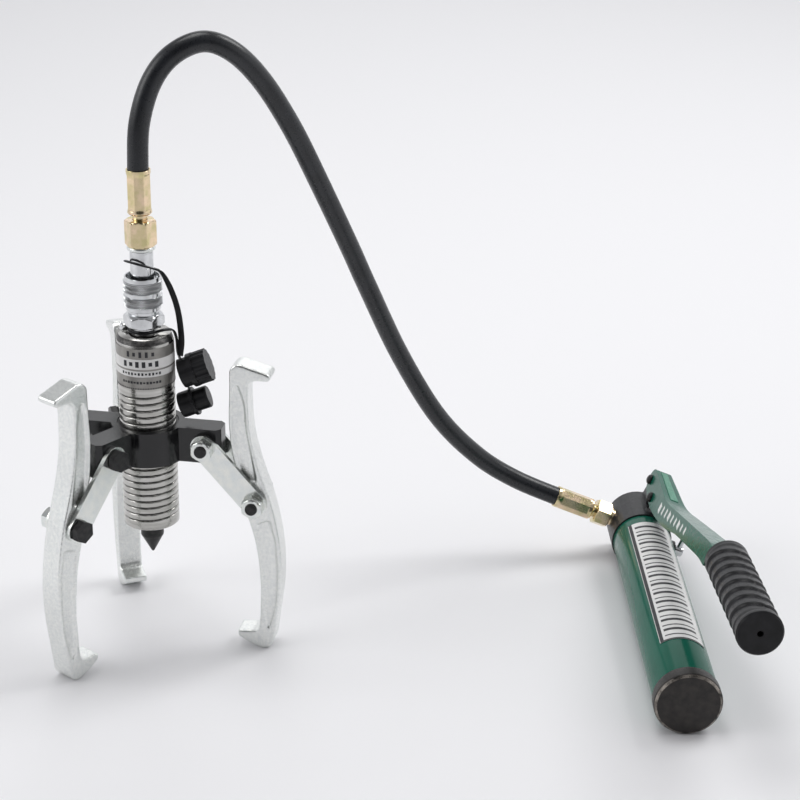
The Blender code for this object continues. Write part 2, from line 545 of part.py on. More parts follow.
def release_valve(pump):
    """Valve stem in the right of the head, its knob and its cross bar."""
    outward = (0, SIDE_ON, 0)
    profile = [(0, BAR_X + 4.6), (4.2, BAR_X + 4.6), (4.8, BAR_X + 4.0), (4.8, BAR_X - 4.0),
               (3.5, BAR_X - 4.4), (3.5, 17.0), (2.0, 15.0), (0, 15.0)]
    stem = turned("release_valve_stem", profile, 20, closed=False)
    bar_hole = moved(rod("bar_hole", BAR_R + GAP, -12, 12, 16), (0, 0, BAR_X), (0, SIDE_ON, 0))
    finish(combine(stem, bar_hole, "DIFFERENCE"), "bright_steel", (0, PLUNGER_Y, 0), outward, pump)
    collar = [(7.0, BAR_X - 5.6), (7.4, BAR_X - 6.2), (7.4, HEAD_R + 2.0), (6.6, HEAD_R + 1.2),
              (3.5 + GAP, HEAD_R + 1.2), (3.5 + GAP, BAR_X - 5.6)]
    finish(turned("release_valve_knob", collar, 20), "black_steel", (0, PLUNGER_Y, 0), outward, pump)
    finish(rod("release_valve_bar", BAR_R, -10, 24, 16), "bright_steel", (BAR_X, PLUNGER_Y, 0), parent=pump)


def hose_and_ends(pump):
    """Hose, its two ferrules and swivel nuts, and the adapter in the pump head."""
    nut_low = WASHER_TOP + GAP
    upper_nut = hose_nut("hose_nut_puller", 23.0, HOSE_NUT_TOP - nut_low)
    finish(upper_nut, "yellow_zinc", (0, 0, nut_low), parent=puller)
    finish(ferrule("hose_ferrule_puller"), "yellow_zinc", (0, 0, FERRULE_BASE), parent=puller)
    outward = (0, -SIDE_ON, 0)          # a turned piece's height runs out of the head's left side
    adapter = [(7.0, 39.0), (7.0, 31.4), (8.0, 31.1), (8.0, 20.0), (3.0, 20.0), (3.0, 39.0)]
    finish(turned("pump_adapter", adapter), "yellow_zinc", (0, PORT_Y, 0), outward, pump)
    finish(hose_nut("hose_nut_pump", 22.0, 14.5), "yellow_zinc", (-31.5, PORT_Y, 0), outward, pump)
    finish(ferrule("hose_ferrule_pump"), "yellow_zinc", (-39.5, PORT_Y, 0), outward, pump)
    bpy.context.view_layer.update()
    mouth = pump.matrix_world @ (Vector((-84.0, PORT_Y, 0)) * MM)
    inside = pump.matrix_world @ (Vector((-54.5, PORT_Y, 0)) * MM)
    to_puller = puller.matrix_world.inverted()
    route = HOSE_ROUTE + [tuple(to_puller @ point / MM) for point in (mouth, inside)]
    finish(wire("hose", smooth(route, 3), HOSE_R, 2), "rubber", parent=puller)


# ---- dust caps -------------------------------------------------------------------------------------
def dust_covers():
    """Cap for the nipple and plug for the coupler, each hanging on its strap."""
    lean = SIDE_ON - math.radians(20.8)
    ribs = 14
    rim = [(14.2 - 0.9 * (i % 4 in (2, 3))) for i in range(4 * ribs)]
    toothed = [(r * math.cos(2 * math.pi * i / len(rim)), r * math.sin(2 * math.pi * i / len(rim)))
               for i, r in enumerate(rim)]
    shell = [(0, 13), (14.6, 13), (14.6, 8.5), (12.5, 8.3), (12.5, 0), (0, 0)]
    cap = turned("dust_cap", shell, closed=False)
    cap = combine(cap, moved(plate("ribs", [toothed], 15.0), (0, 0, 17.5)), "UNION")
    cap = combine(cap, rod("cap_bore", 10.2, -2, 21), "DIFFERENCE")
    finish(cap, "rubber", (30.5, -4, 250.8), (0, lean, 0), puller)
    plug = [(0, 26), (8.8, 26), (9.6, 25), (9.6, 14), (12.4, 14), (12.4, 11), (11.0, 11), (11.0, 1),
            (10.2, 0), (0, 0)]
    finish(turned("dust_plug", plug, closed=False), "rubber", (29.0, -4, 221.6), (0, lean, 0), puller)
    ring = [(13.4 * math.cos(t), 13.4 * math.sin(t), 345 - 3.8 * math.cos(t))
            for t in (math.radians(20 + 17.5 * i) for i in range(18))]
    tail = smooth([ring[-1], (17.2, -5.4, 340.2), (24.2, -4.6, 325), (29.2, -4, 306), (31.2, -4, 282),
                   (29.6, -4, 267.2)], 4)
    finish(settle(wire("dust_cap_strap", ring[:-1] + tail, 0.8, 0, 2.2)), "rubber", parent=puller)
    ring = [(12.6 * math.cos(t), 12.6 * math.sin(t), 289.6)
            for t in (math.radians(20 + 17.5 * i) for i in range(18))]
    tail = smooth([ring[-1], (18.5, -4.5, 290.3), (24.6, -3.2, 289.2), (27.0, -1.5, 280), (27.2, 2, 268),
                   (28.0, 10.5, 257), (28.6, 14.8, 246), (31.0, 14.8, 236), (37.2, 10.6, 227.4)], 4)
    finish(settle(wire("dust_plug_strap", ring[:-1] + tail, 0.8, 0, 2.0)), "rubber", parent=puller)


cylinder()
coupler()
yoke()
for arm_side, arm_azimuth in ARM_AZIMUTHS.items():
    arm(arm_side, arm_azimuth)
pump_at = Vector(PUMP_AT) + Vector((PULLER_X, PULLER_Y, 0))
pump_frame = holder("pump_axis", pump_at, (0, PUMP_ROLL, PUMP_YAW))
pump_body(pump_frame)
pump_handle(pump_frame)
release_valve(pump_frame)
hose_and_ends(pump_frame)
dust_covers()
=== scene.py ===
"""Looks of the hydraulic gear puller and its hand pump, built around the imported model."""
import json
import math

import bmesh
import bpy
from mathutils import Matrix, Vector


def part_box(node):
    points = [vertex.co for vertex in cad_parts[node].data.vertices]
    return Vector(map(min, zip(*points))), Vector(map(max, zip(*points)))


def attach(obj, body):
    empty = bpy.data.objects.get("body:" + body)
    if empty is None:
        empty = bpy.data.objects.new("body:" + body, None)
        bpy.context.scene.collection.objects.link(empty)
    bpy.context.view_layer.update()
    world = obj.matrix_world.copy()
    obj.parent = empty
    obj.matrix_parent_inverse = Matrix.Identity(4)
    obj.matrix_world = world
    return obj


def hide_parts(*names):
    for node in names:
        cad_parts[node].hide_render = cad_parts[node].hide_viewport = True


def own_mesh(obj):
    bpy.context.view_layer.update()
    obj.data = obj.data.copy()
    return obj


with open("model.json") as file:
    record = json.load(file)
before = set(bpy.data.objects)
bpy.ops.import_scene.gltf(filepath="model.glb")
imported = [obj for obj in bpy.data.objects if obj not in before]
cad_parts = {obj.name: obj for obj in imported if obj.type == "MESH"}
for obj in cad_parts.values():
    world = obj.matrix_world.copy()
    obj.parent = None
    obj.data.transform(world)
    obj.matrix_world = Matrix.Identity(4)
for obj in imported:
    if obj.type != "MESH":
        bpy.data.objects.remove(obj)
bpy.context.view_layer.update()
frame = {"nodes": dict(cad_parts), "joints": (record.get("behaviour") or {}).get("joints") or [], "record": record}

MM = 0.001  # lengths below are in millimetres unless they say otherwise
JOINTS = {joint["name"]: joint for joint in frame["joints"]}
MOUNTS = {mount["name"]: mount for mount in frame["record"]["mounts"]}
ROOT = "cylinder_and_pump"
ARMS = ("right", "left", "back")


# ---- places read from the frame ----
def axes(origin, x, y, z):
    """Matrix from an origin in metres and three axes."""
    return Matrix.Translation(origin) @ Matrix((x, y, z)).transposed().to_4x4()


def heights(node):
    """Lowest and highest point of a node, in millimetres above the floor."""
    low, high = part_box(node)
    return low.z / MM, high.z / MM


UP = Vector((0, 0, 1))
barrel_low, barrel_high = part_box("cylinder_barrel")
PULLER_AT = Vector(((barrel_low.x + barrel_high.x) / 2, (barrel_low.y + barrel_high.y) / 2, 0))
PULLER = Matrix.Translation(PULLER_AT)
PUMP_X = Vector(JOINTS["release_valve_turn"]["axis"])
PUMP_Y = -Vector(MOUNTS["end_cap_face"]["axis"])
PUMP_Z = PUMP_X.cross(PUMP_Y)
PUMP_AT = Vector(MOUNTS["end_cap_face"]["pos_m"])
PUMP = axes(PUMP_AT, PUMP_X, PUMP_Y, PUMP_Z)
PUMP_TURNED = axes(PUMP_AT, PUMP_X, -PUMP_Z, PUMP_Y)  # heights run from the end cap to the head


def arm_axes(side, pivot=None):
    """An arm's side view: radius, height, and out of the side where its nuts are."""
    tangent = -Vector(JOINTS[f"{side}_link_swing"]["axis"])
    at = PULLER_AT if pivot is None else Vector(JOINTS[pivot]["pos_m"])
    return axes(at, tangent.cross(UP), UP, -tangent)


def add(name, data):
    """New object in the scene."""
    obj = bpy.data.objects.new(name, data)
    bpy.context.scene.collection.objects.link(obj)
    return obj


# ---- camera, light and floor ----
LENS_WIDTHS = 2.45525  # focal length over the picture's width
SENSOR = 36.0
CAMERA_FROM_PULLER = Vector((0.21470, -1.53665, 0.87504))
CAMERA_PITCH, CAMERA_ROLL = 0.398702, 0.014130  # radians, down from level and about the view


def camera():
    """Camera at the height and angle of a product shot, a little right of the puller."""
    data = bpy.data.cameras.new("camera")
    data.sensor_width = SENSOR
    data.lens = LENS_WIDTHS * SENSOR
    data.clip_end = 50
    obj = add("camera", data)
    ahead = Vector((0, math.cos(CAMERA_PITCH), -math.sin(CAMERA_PITCH)))
    above = Vector((0, math.sin(CAMERA_PITCH), math.cos(CAMERA_PITCH)))
    right = Vector((1, 0, 0))
    x = right * math.cos(CAMERA_ROLL) + above * math.sin(CAMERA_ROLL)
    y = above * math.cos(CAMERA_ROLL) - right * math.sin(CAMERA_ROLL)
    obj.matrix_world = axes(PULLER_AT + CAMERA_FROM_PULLER, x, y, -ahead)
    bpy.context.scene.camera = obj


def soft_box(name, at, towards, size, watts):
    """Square area light aimed at a point."""
    data = bpy.data.lights.new(name, "AREA")
    data.size = size
    data.energy = watts
    obj = add(name, data)
    obj.location = at
    obj.rotation_euler = (Vector(towards) - Vector(at)).to_track_quat("-Z", "Y").to_euler()


def brightness(nodes, links, source, low, at_low, high, at_high):
    """Brightness that goes smoothly from one value to another over a range of a direction's part."""
    span = nodes.new("ShaderNodeMapRange")
    span.interpolation_type = "SMOOTHSTEP"
    for name, value in (("From Min", low), ("From Max", high), ("To Min", at_low), ("To Max", at_high)):
        span.inputs[name].default_value = value
    links.new(source, span.inputs["Value"])
    return span.outputs[0]


TENT_COLOUR = (0.93, 0.94, 0.965, 1)
ROOM_FADE = (-0.86, 0.08, -0.5, 1.0)  # a direction's Y and its brightness behind the camera, then elsewhere
CEILING_FADE = (0.25, 1.0, 0.75, 0.34)  # a direction's Z and its brightness low down, then overhead
SOFT_BOXES = (  # name, place, aim, side in metres, watts
    ("key", (2.0, 1.1, 2.7), (0.0, 0, 0.1), 1.5, 39),
    ("fill_left", (-2.6, -0.5, 1.7), (-0.1, 0, 0.2), 1.5, 18),
    ("top", (-0.5, 0.5, 3.3), (0, 0, 0), 1.7, 32),
    ("backdrop", (0.1, 3.5, 2.4), (0.1, 3.6, 0), 2.4, 20),
)
FLOOR_HALF = 9.0  # metres
FLOOR_COLOUR, FLOOR_ROUGHNESS = (0.85, 0.845, 0.86, 1), 0.55


def tent():
    """World light: a bright tent that is dark behind the camera and dimmer overhead."""
    world = bpy.data.worlds.new("studio")
    bpy.context.scene.world = world
    world.use_nodes = True
    nodes, links = world.node_tree.nodes, world.node_tree.links
    where = nodes.new("ShaderNodeTexCoord")
    split = nodes.new("ShaderNodeSeparateXYZ")
    links.new(where.outputs["Generated"], split.inputs[0])
    both = nodes.new("ShaderNodeMath")
    both.operation = "MULTIPLY"
    links.new(brightness(nodes, links, split.outputs["Y"], *ROOM_FADE), both.inputs[0])
    links.new(brightness(nodes, links, split.outputs["Z"], *CEILING_FADE), both.inputs[1])
    links.new(both.outputs[0], nodes["Background"].inputs["Strength"])
    nodes["Background"].inputs["Color"].default_value = TENT_COLOUR


def paper_floor():
    """Plain pale floor."""
    mesh = bpy.data.meshes.new("floor")
    work = bmesh.new()
    bmesh.ops.create_grid(work, x_segments=1, y_segments=1, size=FLOOR_HALF)
    work.to_mesh(mesh)
    work.free()
    paper = bpy.data.materials.new("paper")
    paper.use_nodes = True
    shader = paper.node_tree.nodes["Principled BSDF"]
    shader.inputs["Base Color"].default_value = FLOOR_COLOUR
    shader.inputs["Roughness"].default_value = FLOOR_ROUGHNESS
    mesh.materials.append(paper)
    add("floor", mesh)


def studio():
    """Tent, soft boxes and floor."""
    bpy.context.scene.view_settings.view_transform = "Standard"
    tent()
    for box in SOFT_BOXES:
        soft_box(*box)
    paper_floor()


# ---- materials ----
FINE_PATCHES = 6  # roughness changes over patches this many times smaller than colour
PATCH_DETAIL, GRAIN_DETAIL = 4.0, 3.0


def texture(nodes, links, scale, stretch, detail):
    """Noise over the piece's own place; scale is in cells per metre."""
    where = nodes.new("ShaderNodeTexCoord")
    spread = nodes.new("ShaderNodeMapping")
    spread.inputs["Scale"].default_value = stretch
    links.new(where.outputs["Object"], spread.inputs["Vector"])
    noise = nodes.new("ShaderNodeTexNoise")
    noise.inputs["Scale"].default_value = scale
    noise.inputs["Detail"].default_value = detail
    links.new(spread.outputs["Vector"], noise.inputs["Vector"])
    return noise.outputs["Fac"]


def ramp_between(nodes, links, source, low, high, start=0.35, end=0.65):
    """Colour ramp on a noise value."""
    ramp = nodes.new("ShaderNodeValToRGB")
    ramp.color_ramp.elements[0].position = start
    ramp.color_ramp.elements[1].position = end
    ramp.color_ramp.elements[0].color = (*low, 1)
    ramp.color_ramp.elements[1].color = (*high, 1)
    links.new(source, ramp.inputs[0])
    return ramp.outputs[0]


def surface(name, dark, light, rough, patch, metallic=0.0, grain=None, shine=0.5, stretch=(1, 1, 1)):
    """Principled material whose colour and roughness drift over patches; grain is (scale, height in mm)."""
    made = bpy.data.materials.new(name)
    made.use_nodes = True
    nodes, links = made.node_tree.nodes, made.node_tree.links
    shader = nodes["Principled BSDF"]
    shader.inputs["Metallic"].default_value = metallic
    shader.inputs["Specular IOR Level"].default_value = shine
    drift = texture(nodes, links, patch, stretch, PATCH_DETAIL)
    links.new(ramp_between(nodes, links, drift, dark, light), shader.inputs["Base Color"])
    low, high = rough
    fine = texture(nodes, links, patch * FINE_PATCHES, stretch, PATCH_DETAIL)
    links.new(ramp_between(nodes, links, fine, (low,) * 3, (high,) * 3), shader.inputs["Roughness"])
    if grain:
        scale, height = grain
        bump = nodes.new("ShaderNodeBump")
        bump.inputs["Strength"].default_value = 1.0
        bump.inputs["Distance"].default_value = height * MM
        links.new(texture(nodes, links, scale, stretch, GRAIN_DETAIL), bump.inputs["Height"])
        links.new(bump.outputs[0], shader.inputs["Normal"])
    return made


FINISH_TABLE = {  # dark, light, range of roughness, patches per metre, other settings of surface()
    "turned_steel": ((0.42, 0.415, 0.39), (0.56, 0.55, 0.53), (0.16, 0.28), 110,
        dict(metallic=1.0, grain=(900, 0.015), stretch=(0.2, 0.2, 2.5))),
    "bright_plate": ((0.58, 0.59, 0.60), (0.72, 0.73, 0.74), (0.10, 0.18), 140,
        dict(metallic=1.0, grain=(700, 0.008))),
    "forged_zinc": ((0.76, 0.78, 0.77), (0.87, 0.88, 0.855), (0.20, 0.34), 420,
        dict(metallic=0.97, grain=(900, 0.2))),
    "rolled_zinc": ((0.74, 0.77, 0.76), (0.83, 0.84, 0.80), (0.18, 0.27), 160,
        dict(metallic=0.98, grain=(1500, 0.02))),
    "yellow_zinc": ((0.64, 0.56, 0.30), (0.90, 0.70, 0.50), (0.14, 0.24), 110,
        dict(metallic=1.0, grain=(800, 0.01))),
    "black_oxide": ((0.012, 0.012, 0.013), (0.03, 0.029, 0.029), (0.3, 0.46), 260,
        dict(metallic=0.4, grain=(1400, 0.03))),
    "black_enamel": ((0.007, 0.007, 0.008), (0.012, 0.012, 0.013), (0.16, 0.24), 80,
        dict(grain=(260, 0.03))),
    "satin_black": ((0.018, 0.018, 0.02), (0.03, 0.03, 0.033), (0.36, 0.48), 200,
        dict(metallic=0.2, grain=(1200, 0.03))),
    "worn_black": ((0.016, 0.014, 0.013), (0.034, 0.029, 0.026), (0.36, 0.55), 130,
        dict(metallic=0.25, grain=(1200, 0.04))),
    # valleys of the thread and the knurl: painted shade, darker than the steel, together with some dirt in them
    "groove_shade_and_dirt": ((0.05, 0.05, 0.05), (0.13, 0.125, 0.12), (0.3, 0.45), 400, dict(metallic=0.8)),
    "worn_edge": ((0.03, 0.028, 0.026), (0.30, 0.27, 0.24), (0.25, 0.4), 150, dict(metallic=0.8)),
    "green_enamel": ((0.007, 0.096, 0.062), (0.009, 0.110, 0.072), (0.17, 0.24), 30,
        dict(grain=(220, 0.004), shine=0.2)),
    "raised_green": ((0.03, 0.20, 0.12), (0.06, 0.27, 0.17), (0.25, 0.35), 200, dict(grain=(900, 0.1))),
    "hose_rubber": ((0.011, 0.012, 0.015), (0.017, 0.019, 0.023), (0.26, 0.34), 60,
        dict(grain=(1600, 0.01))),
    "soft_rubber": ((0.009, 0.009, 0.010), (0.016, 0.016, 0.018), (0.29, 0.4), 90,
        dict(grain=(1800, 0.02), shine=0.22)),
    "label_grey": ((0.27, 0.26, 0.245), (0.33, 0.32, 0.30), (0.3, 0.4), 120, dict(metallic=0.6)),
    "label_white": ((0.74, 0.73, 0.72), (0.82, 0.81, 0.80), (0.4, 0.5), 90, dict()),
    "ink": ((0.012, 0.012, 0.016), (0.025, 0.025, 0.03), (0.4, 0.5), 120, dict()),
}
FINISHES = {name: surface(name, *looks, **rest) for name, (*looks, rest) in FINISH_TABLE.items()}


# ---- mesh helpers ----
WELD = 0.00001  # metres between points that become one


def welded(mesh, distance, outwards=False):
    """The mesh with close points merged and, if asked, its faces turned outwards."""
    work = bmesh.new()
    work.from_mesh(mesh)
    bmesh.ops.remove_doubles(work, verts=work.verts, dist=distance)
    if outwards:
        bmesh.ops.recalc_face_normals(work, faces=work.faces)
    work.to_mesh(mesh)
    work.free()
    return mesh


def mesh_of(name, points, faces, merge=2 * WELD):
    """Object from points in millimetres and faces."""
    mesh = bpy.data.meshes.new(name)
    mesh.from_pydata([(x * MM, y * MM, z * MM) for x, y, z in points], [], faces)
    return add(name, welded(mesh, merge, True))


def baked(obj):
    """The object's modifiers or curve turned into its own mesh."""
    bpy.context.view_layer.update()
    mesh = bpy.data.meshes.new_from_object(obj.evaluated_get(bpy.context.evaluated_depsgraph_get()))
    matrix = obj.matrix_world.copy()
    name = obj.name
    bpy.data.objects.remove(obj, do_unlink=True)
    made = add(name, welded(mesh, WELD))
    made.matrix_world = matrix
    return made


def shade(obj, degrees=35):
    """Smooth shading that keeps edges sharper than this angle."""
    obj.data.shade_smooth()
    obj.data.set_sharp_from_angle(angle=math.radians(degrees))


def crisp(obj, degrees=40):
    """Smooth shading that also keeps flat faces flat beside rounded edges."""
    shade(obj, degrees)
    change = obj.modifiers.new("flat", "WEIGHTED_NORMAL")
    change.keep_sharp = True
    return baked(obj)


STRAIGHT = math.radians(12)  # a corner that turns less than this stays as it is
CORNER_SHARE = 0.45  # most of a side that a corner's curve may take


def rounded(points, cut, closed=True):
    """Outline with each corner replaced by a short curve that starts this far from it."""
    count = len(points)
    made = []
    for i, here in enumerate(points):
        if not closed and i in (0, count - 1):
            made.append(here)
            continue
        here, before, after = Vector(here), Vector(points[i - 1]), Vector(points[(i + 1) % count])
        back, ahead = before - here, after - here
        if min(back.length, ahead.length) < 0.01 or back.angle(-ahead) < STRAIGHT:
            made.append(tuple(here))
            continue
        reach = min(cut, CORNER_SHARE * back.length, CORNER_SHARE * ahead.length)
        start, end = here + back.normalized() * reach, here + ahead.normalized() * reach
        for t in (0.0, 0.3, 0.7, 1.0):
            made.append(tuple(start * (1 - t) ** 2 + here * 2 * t * (1 - t) + end * t * t))
    return made


def turned(name, profile, steps=64, cut=0.4, reach=None, sharp=35):
    """Profile of (radius, height) turned about Z; reach(radius, height, angle) may change a radius."""
    closed = profile[0][0] > 0  # one that starts on the axis also ends there
    outline = rounded(profile, cut, closed) if cut else list(profile)
    rows = len(outline)
    points = []
    for i in range(steps):
        angle = 2 * math.pi * i / steps
        for radius, height in outline:
            r = reach(radius, height, angle) if reach else radius
            points.append((r * math.cos(angle), r * math.sin(angle), height))
    faces = []
    for i in range(steps):
        a, b = i * rows, (i + 1) % steps * rows
        for j in range(rows if closed else rows - 1):
            k = (j + 1) % rows
            faces.append((a + j, b + j, b + k, a + k))
    obj = mesh_of(name, points, faces)
    shade(obj, sharp)
    return obj


def levels(low, high, count):
    """Values spread evenly over a stretch."""
    return [low + (high - low) * i / count for i in range(count + 1)]


def arc(centre, radius, start, end, count):
    """Points of an arc between two angles in degrees."""
    turns = [math.radians(t) for t in levels(start, end, count)]
    return [(centre[0] + radius * math.cos(t), centre[1] + radius * math.sin(t)) for t in turns]


def smooth(points, steps):
    """Catmull-Rom curve through the points."""
    guide = [Vector(p) for p in points]
    guide = [2 * guide[0] - guide[1]] + guide + [2 * guide[-1] - guide[-2]]
    route = []
    for a, b, c, d in zip(guide, guide[1:], guide[2:], guide[3:]):
        for i in range(steps):
            t = i / steps
            route.append(0.5 * (2 * b + (c - a) * t + (2 * a - 5 * b + 4 * c - d) * t ** 2
                                + (3 * b - a - 3 * c + d) * t ** 3))
    route.append(guide[-2])
    return [tuple(p) for p in route]


def plate(name, outlines, thick):
    """Flat plate in XY from closed outlines, the first its edge and the rest its holes."""
    curve = bpy.data.curves.new(name, "CURVE")
    curve.dimensions = "2D"
    curve.fill_mode = "BOTH"
    curve.extrude = thick / 2 * MM
    for outline in outlines:
        spline = curve.splines.new("POLY")
        spline.points.add(len(outline) - 1)
        for point, (x, y) in zip(spline.points, outline):
            point.co = (x * MM, y * MM, 0, 1)
        spline.use_cyclic_u = True
    return baked(add(name, curve))


def combine(obj, other, how):
    """Join the other solid to this one, or cut it away, and drop it."""
    change = obj.modifiers.new(how, "BOOLEAN")
    change.operation = how
    change.solver = "EXACT"
    change.object = other
    result = baked(obj)
    bpy.data.objects.remove(other, do_unlink=True)
    return result


def drilled(obj, radius, half, at):
    """The solid with a hole along the matrix's Z, to half a length on either side of it."""
    hole = turned("hole", [(0, half), (radius, half), (radius, -half), (0, -half)], 32, 0)
    hole.matrix_world = at
    return combine(obj, hole, "DIFFERENCE")


def bevelled(obj, width, segments=3, angle=30):
    """Round every edge sharper than the angle."""
    change = obj.modifiers.new("bevel", "BEVEL")
    change.width = width * MM
    change.segments = segments
    change.limit_method = "ANGLE"
    change.angle_limit = math.radians(angle)
    change.use_clamp_overlap = True
    return crisp(baked(obj))


def forged(obj, cell, passes):
    """Skin of a forging: the shape rebuilt from small cells, with its edges worn round."""
    net = obj.modifiers.new("net", "REMESH")
    net.mode = "VOXEL"
    net.voxel_size = cell * MM
    relax = obj.modifiers.new("relax", "SMOOTH")
    relax.factor = 0.5
    relax.iterations = passes
    result = baked(obj)
    result.data.shade_smooth()
    return result


def place(obj, finish, body, matrix, nodes=()):
    """Put a piece in its place, with its finish, slot, body and the nodes it stands for."""
    obj.data.materials.clear()
    obj.data.materials.append(FINISHES[finish])
    obj.data.transform(matrix @ obj.matrix_world)
    obj.matrix_world = Matrix.Identity(4)
    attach(obj, body)
    if nodes:
        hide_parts(*nodes)


def keep(node, finish, width=0.0):
    """Carry a CAD node over with a better finish, its edges rounded if there is a width."""
    obj = frame["nodes"][node]
    obj.data.materials.clear()
    obj.data.materials.append(FINISHES[finish])
    if width:
        weld = obj.modifiers.new("weld", "WELD")
        weld.merge_threshold = WELD
        flat = obj.modifiers.new("flat", "DECIMATE")
        flat.decimate_type = "DISSOLVE"
        flat.angle_limit = math.radians(1)
        edge = obj.modifiers.new("edge", "BEVEL")
        edge.width = width * MM
        edge.segments = 2
        edge.limit_method = "ANGLE"
        edge.angle_limit = math.radians(32)


def grooves(obj, finish, low_radius, high_radius):
    """Another finish for faces whose distance from the puller's axis is between two radii."""
    obj.data.materials.append(FINISHES[finish])
    for face in obj.data.polygons:
        if low_radius < math.hypot(*(face.center - PULLER_AT).xy) / MM < high_radius:
            face.material_index = 1


def hexagonal(across_flats, chamfers, start=0.0):
    """Reach of a chamfered hexagon; chamfers are (height, radius there, slope) of each coned end."""
    flat = across_flats / 2

    def reach(radius, height, angle):
        if radius < flat * 0.98:
            return radius
        turn = (angle - start + math.pi / 6) % (math.pi / 3) - math.pi / 6
        limits = [at_edge + slope * abs(height - edge) for edge, at_edge, slope in chamfers]
        return min(flat / math.cos(turn), *limits)
    return reach


# ---- cylinder ----
BARREL_R, GLAND_R, BORE_R, PORT_R = 24.0, 18.3, 15.0, 8.3
GLAND_TOP, BORE_TOP, PORT_FLOOR, SHOULDER = 126, 262, 268, 281.2
OIL_WAY_R = 3.0
THREAD_PITCH, THREAD_DEPTH = 6.0, 1.25
THREAD_FROM, THREAD_TO = 117.0, 238.5
THREAD_STEP = 0.36  # between the profile's points
GROOVE_HALF, CREST_FALL = 0.13, 0.32  # in turns, and the crest's fall towards the groove
TIP_R, TIP_NECK_R, TIP_TOP, CONE_TOP = 10.0, 5.0, 112.3, 98.5
BLEED_R = 4.2


def thread(radius, height, angle):
    """Radius of the barrel with its right-hand thread: broad round crests and narrow grooves."""
    if radius < BARREL_R - 0.2 or not THREAD_FROM < height < THREAD_TO:
        return radius
    phase = ((height - THREAD_FROM) / THREAD_PITCH - angle / (2 * math.pi)) % 1.0
    off = min(phase, 1 - phase)  # distance from the groove, in turns
    crest = CREST_FALL * (1 - 2 * off) ** 3
    groove = THREAD_DEPTH * max(0.0, 1 - (off / GROOVE_HALF) ** 2)
    ends = min(1.0, (height - THREAD_FROM) / 2, (THREAD_TO - height) / 3)
    return radius - (crest + groove) * ends


def cylinder():
    """Threaded barrel with what is in it and on it."""
    low, high = heights("cylinder_barrel")
    rows = round((THREAD_TO - THREAD_FROM) / THREAD_STEP)
    outer = [(BARREL_R - 2, high), (BARREL_R - 0.3, SHOULDER + 0.6), (BARREL_R, SHOULDER)]
    outer += [(BARREL_R, z) for z in levels(THREAD_TO, THREAD_FROM, rows)]
    outer += [(BARREL_R, low + 1.2), (BARREL_R - 1.2, low), (GLAND_R, low), (GLAND_R, GLAND_TOP),
              (BORE_R, GLAND_TOP), (BORE_R, BORE_TOP), (OIL_WAY_R, BORE_TOP), (OIL_WAY_R, PORT_FLOOR),
              (PORT_R, PORT_FLOOR), (PORT_R, high)]
    barrel = turned("threaded_barrel", outer, 128, 0, reach=thread, sharp=75)
    place(barrel, "turned_steel", ROOT, PULLER, ["cylinder_barrel"])
    # faces deep in the thread's grooves get painted shade, with some dirt
    grooves(barrel, "groove_shade_and_dirt", BARREL_R - 1.8, BARREL_R - 0.95)
    cylinder_label()
    for node in ("gland_nut", "ram_piston", "yoke_bush"):
        keep(node, "black_oxide")
    for node in ("rod_wiper", "piston_seal"):
        keep(node, "soft_rubber")
    keep("ram_rod", "bright_plate")
    return_coil()
    cone_tip()
    bleed_plug()


def cone_tip():
    """Pointed tip of the ram."""
    low, high = heights("ram_tip")
    tip = [(0, high), (TIP_NECK_R, high), (TIP_NECK_R, TIP_TOP), (TIP_R - 0.6, TIP_TOP),
           (TIP_R, TIP_TOP - 0.6), (TIP_R, CONE_TOP), (1.2, low + 0.8), (0, low)]
    place(turned("cone_tip", tip, 48, 0.5), "black_oxide", "ram", PULLER, ["ram_tip"])


def bleed_plug():
    """Round screw on the cylinder's shoulder."""
    low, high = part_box("bleed_screw")
    at = PULLER @ Matrix.Translation(((low + high) / 2 - PULLER_AT) * Vector((1, 1, 0)))
    low, high = low.z / MM, high.z / MM
    head = [(0, high), (2.6, high), (BLEED_R - 0.1, high - 1.1), (BLEED_R, low), (0, low)]
    place(turned("bleed_plug", head, 32, 0.5), "bright_plate", ROOT, at, ["bleed_screw"])


def return_coil():
    """The return spring, which shortens on the real puller as the ram comes down on it; this copy of its node
    keeps its length.
    """
    node = frame["nodes"]["return_spring"]
    coil = add("return_coil", node.data.copy())
    coil.matrix_world = node.matrix_world.copy()
    place(coil, "turned_steel", ROOT, Matrix.Identity(4), ["return_spring"])
    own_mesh(coil)


def marks(name, bars, finish, matrix, nodes=()):
    """One piece made of bars on a drum: (radius, low, high, start, end, thickness), angles in degrees."""
    points, faces = [], []
    for radius, low, high, start, end, thick in bars:
        count = max(1, round(abs(end - start) / 4))
        first = len(points)
        last = first + 4 * count
        for t in levels(start, end, count):
            c, s = math.cos(math.radians(t)), math.sin(math.radians(t))
            points += [(r * c, r * s, z) for r in (radius, radius + thick) for z in (low, high)]
        for a in range(first, last, 4):
            b = a + 4
            faces += [(a + 2, b + 2, b + 3, a + 3), (a, a + 1, b + 1, b), (a, b, b + 2, a + 2),
                      (a + 1, a + 3, b + 3, b + 1)]
        faces += [(first, first + 2, first + 3, first + 1), (last + 1, last + 3, last + 2, last)]
    place(mesh_of(name, points, faces, 0.000001), finish, ROOT, matrix, nodes)


LABEL_IN_R, LABEL_R, PRINT_R = BARREL_R + 0.3, BARREL_R + 0.45, BARREL_R + 0.55
LABEL_FRONT = -93  # middle of the print, in degrees about the cylinder
WHITE_BANDS = ((11.4, 16.6), (18.2, 27.0))  # above the label's lower edge
PRINT_ROWS = ((28.9, 5, 5.0, 12.5, 5.5), (20.0, 6, 5.2, 13.0, 7.0),
              (12.9, 12, 2.4, 7.0, 4.0), (5.2, 13, 2.2, 6.4, 4.4))  # above it, dashes, height, step, width


